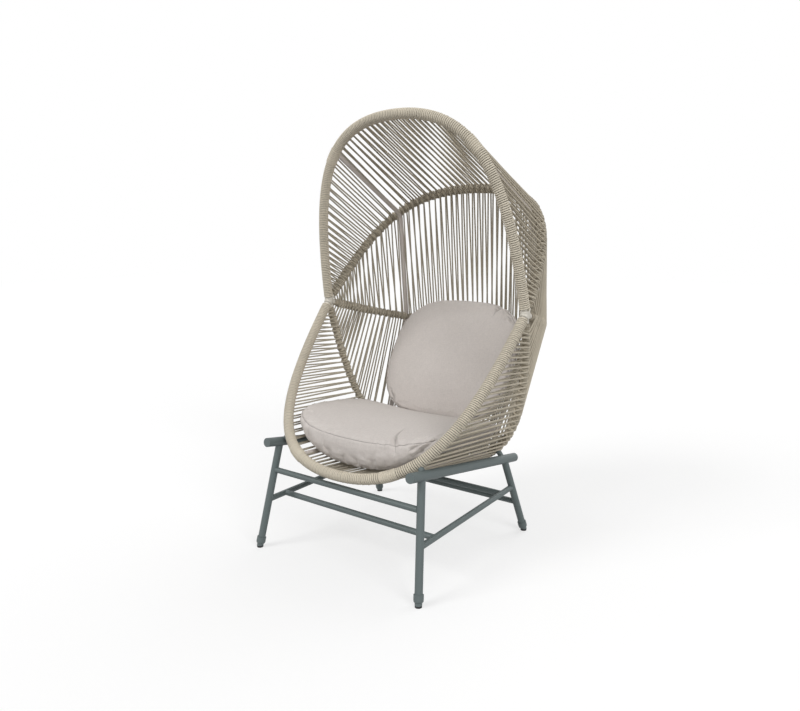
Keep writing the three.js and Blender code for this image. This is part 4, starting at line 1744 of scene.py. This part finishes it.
@dataclass
class Cushion:
    """A stuffed cushion in a linen cover, plumped by cloth simulation inside the space of its CAD solid."""

    node: str
    ride: Ride
    bed: Bed
    half_width: float
    start: float
    length: float
    power: float
    border: float
    thinning: float
    lift: float
    rear_rise: float = 0.0
    lean: float = 0.0
    voxel: float = 0.0062
    softening: float = 0.5
    shrink: float = 0.004
    skin: float = 0.0005
    pressure: float = 4.0
    frames: int = 20
    cap: float = 0.022
    swell: float = 0.1
    even_rounds: int = 60
    wrinkle: float = 0.0055
    clear: float = 0.0185
    steepest: float = 2.2
    inset: float = 0.0008
    rest_reach: float = 0.05
    rest_gap: float = 0.0006
    fill: float = 0.6
    grow: float = 0.0022
    border_weight: float = 1.15
    seam: Seam = Seam()
    folds: tuple[Fold, ...] = ()

    def edge(self, angle: Points, out: float) -> Points:
        """Points of the cushion's plain form at the top of its border.

        Args:
            angle: angles round the cushion.
            out: share of the way out to the edge.

        Returns:
            The points in the frame.
        """
        c, s = np.cos(angle), np.sin(angle)
        size = out / (np.abs(c) ** self.power + np.abs(s) ** self.power) ** (1 / self.power)
        x, v = self.half_width * size * c, size * s
        y = self.start + self.length * (1 + v) / 2
        wall = self.border - self.thinning * self.bed.rise(x, y) + self.rear_rise * (1 + v) / 2
        return self.bed.point(x, y, self.lift + wall, self.lean)

    def build(self, nodes: Nodes, below: Optional[bpy.types.Object] = None) -> bpy.types.Object:
        """Makes, plumps and dresses the cushion.

        Args:
            nodes: the CAD nodes.
            below: the finished cushion that this one stands on.

        Returns:
            The piece.
        """
        piece = copied(nodes[self.node], f"{self.node}_cover")
        solid = BVHTree.FromPolygons(
            [v.co[:] for v in piece.data.vertices], [tuple(p.vertices) for p in piece.data.polygons]
        )
        modify(piece, "REMESH", mode="VOXEL", voxel_size=self.voxel)
        modify(piece, "SMOOTH", factor=self.softening, iterations=1)
        self.plump(piece)
        modify(piece, "SUBSURF", levels=1, render_levels=1)
        self.sew(piece)
        self.settle(piece, solid, below)
        self.map_cloth(piece)
        smooth(piece, 180.0)
        dress(piece, CUSHION_LINEN, self.ride, [self.node])
        return piece

    def plump(self, piece: bpy.types.Object) -> None:
        """Swells the cover by cloth simulation, and keeps its wrinkles and a share of its swelling.

        Args:
            piece: the cover in its plain form.
        """
        rest, normals = read(piece), normals_of(piece)
        before = rest - normals * self.shrink
        write(piece, before)
        modifier = piece.modifiers.new("cloth", "CLOTH")
        for name, value in CLOTH.items():
            setattr(modifier.settings, name, value)
        modifier.settings.uniform_pressure_force = self.pressure
        modifier.settings.effector_weights.gravity = 0.0
        modifier.point_cache.frame_start, modifier.point_cache.frame_end = 1, self.frames
        for frame in range(1, self.frames + 1):
            bpy.context.scene.frame_set(frame)
        apply_modifiers(piece)
        bpy.context.scene.frame_set(1)
        moved = read(piece) - before
        furthest = float(np.linalg.norm(moved, axis=1).max())
        moved = capped(moved, self.cap)
        broad = evened(piece, moved, self.even_rounds)
        fine = capped(moved - broad, self.wrinkle)
        write(piece, rest - normals * self.skin + broad * self.swell + fine)
        log.info("%s: the simulation moved it by up to %.1f mm", piece.name, 1000 * furthest)

    def sew(self, piece: bpy.types.Object) -> None:
        """Draws in the seam round the top, gathers the cloth along it and lays the folds.

        Args:
            piece: the cover.
        """
        points, normals = read(piece), normals_of(piece)
        ring = self.edge(np.linspace(0, 2 * math.pi, self.seam.samples, endpoint=False), self.seam.out)
        ahead, behind = np.roll(ring, -1, axis=0), np.roll(ring, 1, axis=0)
        run = np.cumsum(np.linalg.norm(ahead - ring, axis=1))
        course = unit(ahead - behind)
        tree = KDTree(len(ring))
        for i, point in enumerate(ring):
            tree.insert(point, i)
        tree.balance()
        shift = np.zeros(len(points))
        seam, fold = (np.full(len(points), NOT_NEAR) for _ in range(2))
        for i, point in enumerate(points):
            _, index, gap = tree.find(point)
            if gap < self.seam.reach:
                seam[i] = float((point - ring[index]) @ np.cross(course[index], normals[i]))
                shift[i] = self.seam.shift(abs(seam[i]), run[index])
        for crease in self.folds:
            moved, line = crease.trace(points, normals)
            shift += moved
            fold = np.where(np.abs(line) < np.abs(fold), line, fold)
        # The distances to the seam and the folds, from which the cloth's painted shade is drawn.
        carry(piece, "seam", seam)
        carry(piece, "fold", fold)
        write(piece, points + normals * (shift + self.grow)[:, None])

    def settle(
        self, piece: bpy.types.Object, solid: BVHTree, below: Optional[bpy.types.Object]
    ) -> None:
        """Keeps the cover inside its solid's space, over the cords and off the cushion below.

        Args:
            piece: the cover.
            solid: the CAD solid's surface.
            below: the cushion that this one stands on.
        """
        points = read(piece)
        for i, point in enumerate(points):
            near, normal, _, _ = solid.find_nearest(Vector(point))
            over = (Vector(point) - near).dot(normal) - self.inset
            if over > 0:
                points[i] -= np.array(normal) * over
        x, s, height = self.bed.measure(points)
        steep = np.minimum(np.sqrt(1 + self.bed.slope(x, s) ** 2), self.steepest)
        points += np.outer(np.maximum(self.clear * steep - height, 0), self.bed.up)
        if below is not None:
            rest = BVHTree.FromObject(below, bpy.context.evaluated_depsgraph_get())
            for i, point in enumerate(points):
                near, normal, _, _ = rest.find_nearest(Vector(point), self.rest_reach)
                if near is not None:
                    short = self.rest_gap - (Vector(point) - near).dot(normal)
                    if short > 0:
                        points[i] += np.array(normal) * short
        write(piece, points)

    def map_cloth(self, piece: bpy.types.Object) -> None:
        """Gives the cover its map in metres: across and along the bed, and round its border.

        Args:
            piece: the cover.
        """
        spots, _, sizes = face_corners(piece.data)
        spot = self.bed.turned(read(piece) - self.bed.start)[spots]
        faces = self.bed.turned(numbers(piece.data.polygons, "normal", 3).astype(float))
        side = np.repeat(np.argmax(np.abs(faces) * [1.0, 1.0, self.border_weight], axis=1), sizes)
        u = np.where(side == 0, spot[:, 1], spot[:, 0])
        v = np.where(side == 2, spot[:, 1], spot[:, 2])
        write_map(piece.data, "cloth", u, v)


SEAT_FOLDS = (
    Fold(
        (
            (0.1312, -0.2221, 0.4389),
            (0.1274, -0.2418, 0.4361),
            (0.1348, -0.2711, 0.4316),
            (0.15, -0.3017, 0.4257),
            (0.1674, -0.3223, 0.4182),
            (0.1712, -0.3274, 0.3985),
        )
    ),
    Fold(
        (
            (0.2687, -0.2612, 0.4433),
            (0.2612, -0.2815, 0.4254),
            (0.2417, -0.2945, 0.4035),
            (0.222, -0.3031, 0.3895),
        ),
        depth=0.011,
        side=-1.0,
    ),
    Fold(
        ((0.25, -0.2864, 0.4357), (0.2329, -0.301, 0.4226), (0.2125, -0.3153, 0.4063)),
        depth=0.004,
        width=0.006,
    ),
    Fold(((-0.19, -0.21, 0.441), (-0.15, -0.246, 0.437)), 0.003, 0.016, 0.002),
    Fold(((-0.084, -0.296, 0.4245), (-0.072, -0.26, 0.431)), 0.0025, 0.012, 0.002),
    Fold(((0.0, -0.268, 0.429), (0.02, -0.23, 0.434)), 0.0022, 0.012, 0.002),
)
BACK_FOLDS = (
    Fold(
        ((0.138, 0.309, 0.739), (0.141, 0.3215, 0.7545), (0.149, 0.331, 0.765), (0.165, 0.338, 0.772)),
        depth=0.007,
        width=0.008,
    ),
    Fold(
        ((0.2216, 0.3031, 0.7209), (0.2076, 0.3118, 0.7336), (0.1924, 0.3174, 0.7427)),
        depth=0.006,
        width=0.007,
    ),
    Fold(((0.165, 0.318, 0.752), (0.185, 0.31, 0.728), (0.192, 0.296, 0.7)), 0.003, 0.012, 0.002),
    Fold(((-0.205, 0.15, 0.45), (-0.181, 0.136, 0.4167)), 0.006, 0.008),
)


@dataclass
class CushionSet:
    """The seat cushion and the back cushion that stands on it."""

    lines: PodLines
    seat_width_share: float = 0.7759
    seat_start: float = 0.046
    seat_short: float = 0.0223
    back_width_share: float = 0.6495
    back_start: float = 0.11
    back_over: float = 0.0536

    def build(self, nodes: Nodes) -> None:
        """Makes both cushions.

        Args:
            nodes: the CAD nodes.
        """
        hoops = self.lines.hoops
        half = hoops[Place.LOWER].half_width
        seat_bed = Bed(hoops[Place.BOWL], hoops[Place.LOWER], hoops[Place.WAIST])
        seat = Cushion(
            "seat_cushion",
            Ride.SEAT,
            seat_bed,
            half_width=self.seat_width_share * half,
            start=self.seat_start,
            length=seat_bed.span - self.seat_start - self.seat_short,
            power=3.7,
            border=0.098,
            thinning=0.62,
            lift=0.011,
            rear_rise=0.034,
            lean=0.1,
            folds=SEAT_FOLDS,
        )
        back_bed = Bed(hoops[Place.LOWER], hoops[Place.WAIST], hoops[Place.ARCH])
        back = Cushion(
            "back_cushion",
            Ride.BACK,
            back_bed,
            half_width=self.back_width_share * half,
            start=self.back_start,
            length=back_bed.span - self.back_start + self.back_over,
            power=3.0,
            border=0.092,
            thinning=0.72,
            lift=0.0115,
            wrinkle=0.0028,
            seam=Seam(gather=0.0003),
            folds=BACK_FOLDS,
        )
        back.build(nodes, seat.build(nodes))


# Surroundings


def turn_to(holder: bpy.types.Object, direction: Vector) -> None:
    """Turns a camera or a lamp to look in a direction."""
    holder.rotation_mode = "QUATERNION"
    holder.rotation_quaternion = direction.to_track_quat("-Z", "Y")


@dataclass(frozen=True)
class Lamp:
    """A wide soft lamp, as far away as the sky: where it stands, its light, and its width in degrees."""

    name: str
    towards: tuple[float, float, float]
    strength: float
    spread: float

    def hang(self) -> None:
        """Adds the lamp to the scene."""
        data = bpy.data.lights.new(self.name, "SUN")
        data.energy = self.strength
        data.angle = math.radians(self.spread)
        turn_to(linked(self.name, data), -Vector(self.towards))


@dataclass
class Studio:
    """Camera, soft lamps and a plain pale floor."""

    camera_at: tuple[float, float, float] = (1.35737, -1.89961, 1.02883)
    camera_to: tuple[float, float, float] = (0.0, -0.07009, 0.63375)
    lens: float = 31.36
    sensor: float = 36.0
    nearest: float = 0.05
    furthest: float = 60.0
    sky: float = 0.42
    lamps: tuple[Lamp, ...] = (
        Lamp("key", (-0.4, -0.75, 0.68), 1.3, 24.0),
        Lamp("fill", (0.95, -0.4, 0.55), 1.3, 30.0),
        Lamp("back", (0.1, 0.85, 0.85), 0.8, 45.0),
    )
    floor_half: float = 14.0
    floor_grey: float = 0.38
    floor_glow: float = 0.61

    def place_camera(self) -> None:
        """Makes the camera at the photograph's viewing angle."""
        data = bpy.data.cameras.new("camera")
        data.lens = self.lens
        data.sensor_width = self.sensor
        data.clip_start, data.clip_end = self.nearest, self.furthest
        camera = linked("camera", data)
        camera.location = self.camera_at
        turn_to(camera, Vector(self.camera_to) - Vector(self.camera_at))
        bpy.context.scene.camera = camera

    def build(self) -> None:
        """Makes the floor, the white surroundings and the lamps."""
        scene = bpy.context.scene
        scene.view_settings.view_transform = "Standard"
        scene.world = bpy.data.worlds.new("studio")
        board = emptied(scene.world)
        soft, white = (
            board.value("ShaderNodeBackground", None, {"Color": WHITE, "Strength": strength})
            for strength in (self.sky, 1.0)
        )
        board.add("ShaderNodeOutputWorld", None, {0: self.shown(board, soft, white)})
        for lamp in self.lamps:
            lamp.hang()
        self.build_floor()

    def shown(self, board: Board, lit: Expr, seen: Expr) -> Expr:
        """Two shaders: one that lights the object, and one for rays from the camera, a mirror or glass.

        Args:
            board: the material's or world's board.
            lit: the shader that lights the object.
            seen: the shader that shows.

        Returns:
            The mixed shader.
        """
        rays = board.add("ShaderNodeLightPath")
        found = Expr(board, rays.outputs["Is Camera Ray"])
        for name in ("Is Glossy Ray", "Is Transmission Ray"):
            found = found.most(Expr(board, rays.outputs[name]))
        return board.value("ShaderNodeMixShader", None, {0: found, 1: lit, 2: seen})

    def build_floor(self) -> None:
        """Makes the pale floor, which keeps the chair's shadow."""
        half = self.floor_half
        corner_points = [(x * half, y * half, 0) for x, y in ((-1, -1), (1, -1), (1, 1), (-1, 1))]
        floor = make_object("floor", corner_points, [(0, 1, 2, 3)])
        material = bpy.data.materials.new("floor")
        board = emptied(material)
        grey = (self.floor_grey, self.floor_grey, self.floor_grey, 1.0)
        paper = board.value("ShaderNodeBsdfDiffuse", None, {"Color": grey})
        glow = board.value("ShaderNodeEmission", None, {"Color": WHITE, "Strength": self.floor_glow})
        both = board.value("ShaderNodeAddShader", None, {0: paper, 1: glow})
        board.add("ShaderNodeOutputMaterial", None, {0: self.shown(board, paper, both)})
        floor.data.materials.append(material)


# The whole chair


def main() -> None:
    """Builds the chair's looks in order."""
    logging.basicConfig(level=logging.INFO, format="%(name)s %(message)s")
    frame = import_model()
    nodes = frame["nodes"]
    studio = Studio()
    studio.place_camera()
    lines = PodLines()
    lay, wind = cord_tree(), winding_tree()
    RimWraps(lines).build(wind, nodes)
    WoundHoops(lines).build(wind, lay)
    StrungPanels(lines).build(lay)
    Spines(lines).build(lay)
    SpineLashings(lines).build(wind)
    Knuckles().build(nodes)
    Base().build(nodes)
    CushionSet(lines).build(nodes)
    studio.build()


if __name__ == "__main__":
    main()
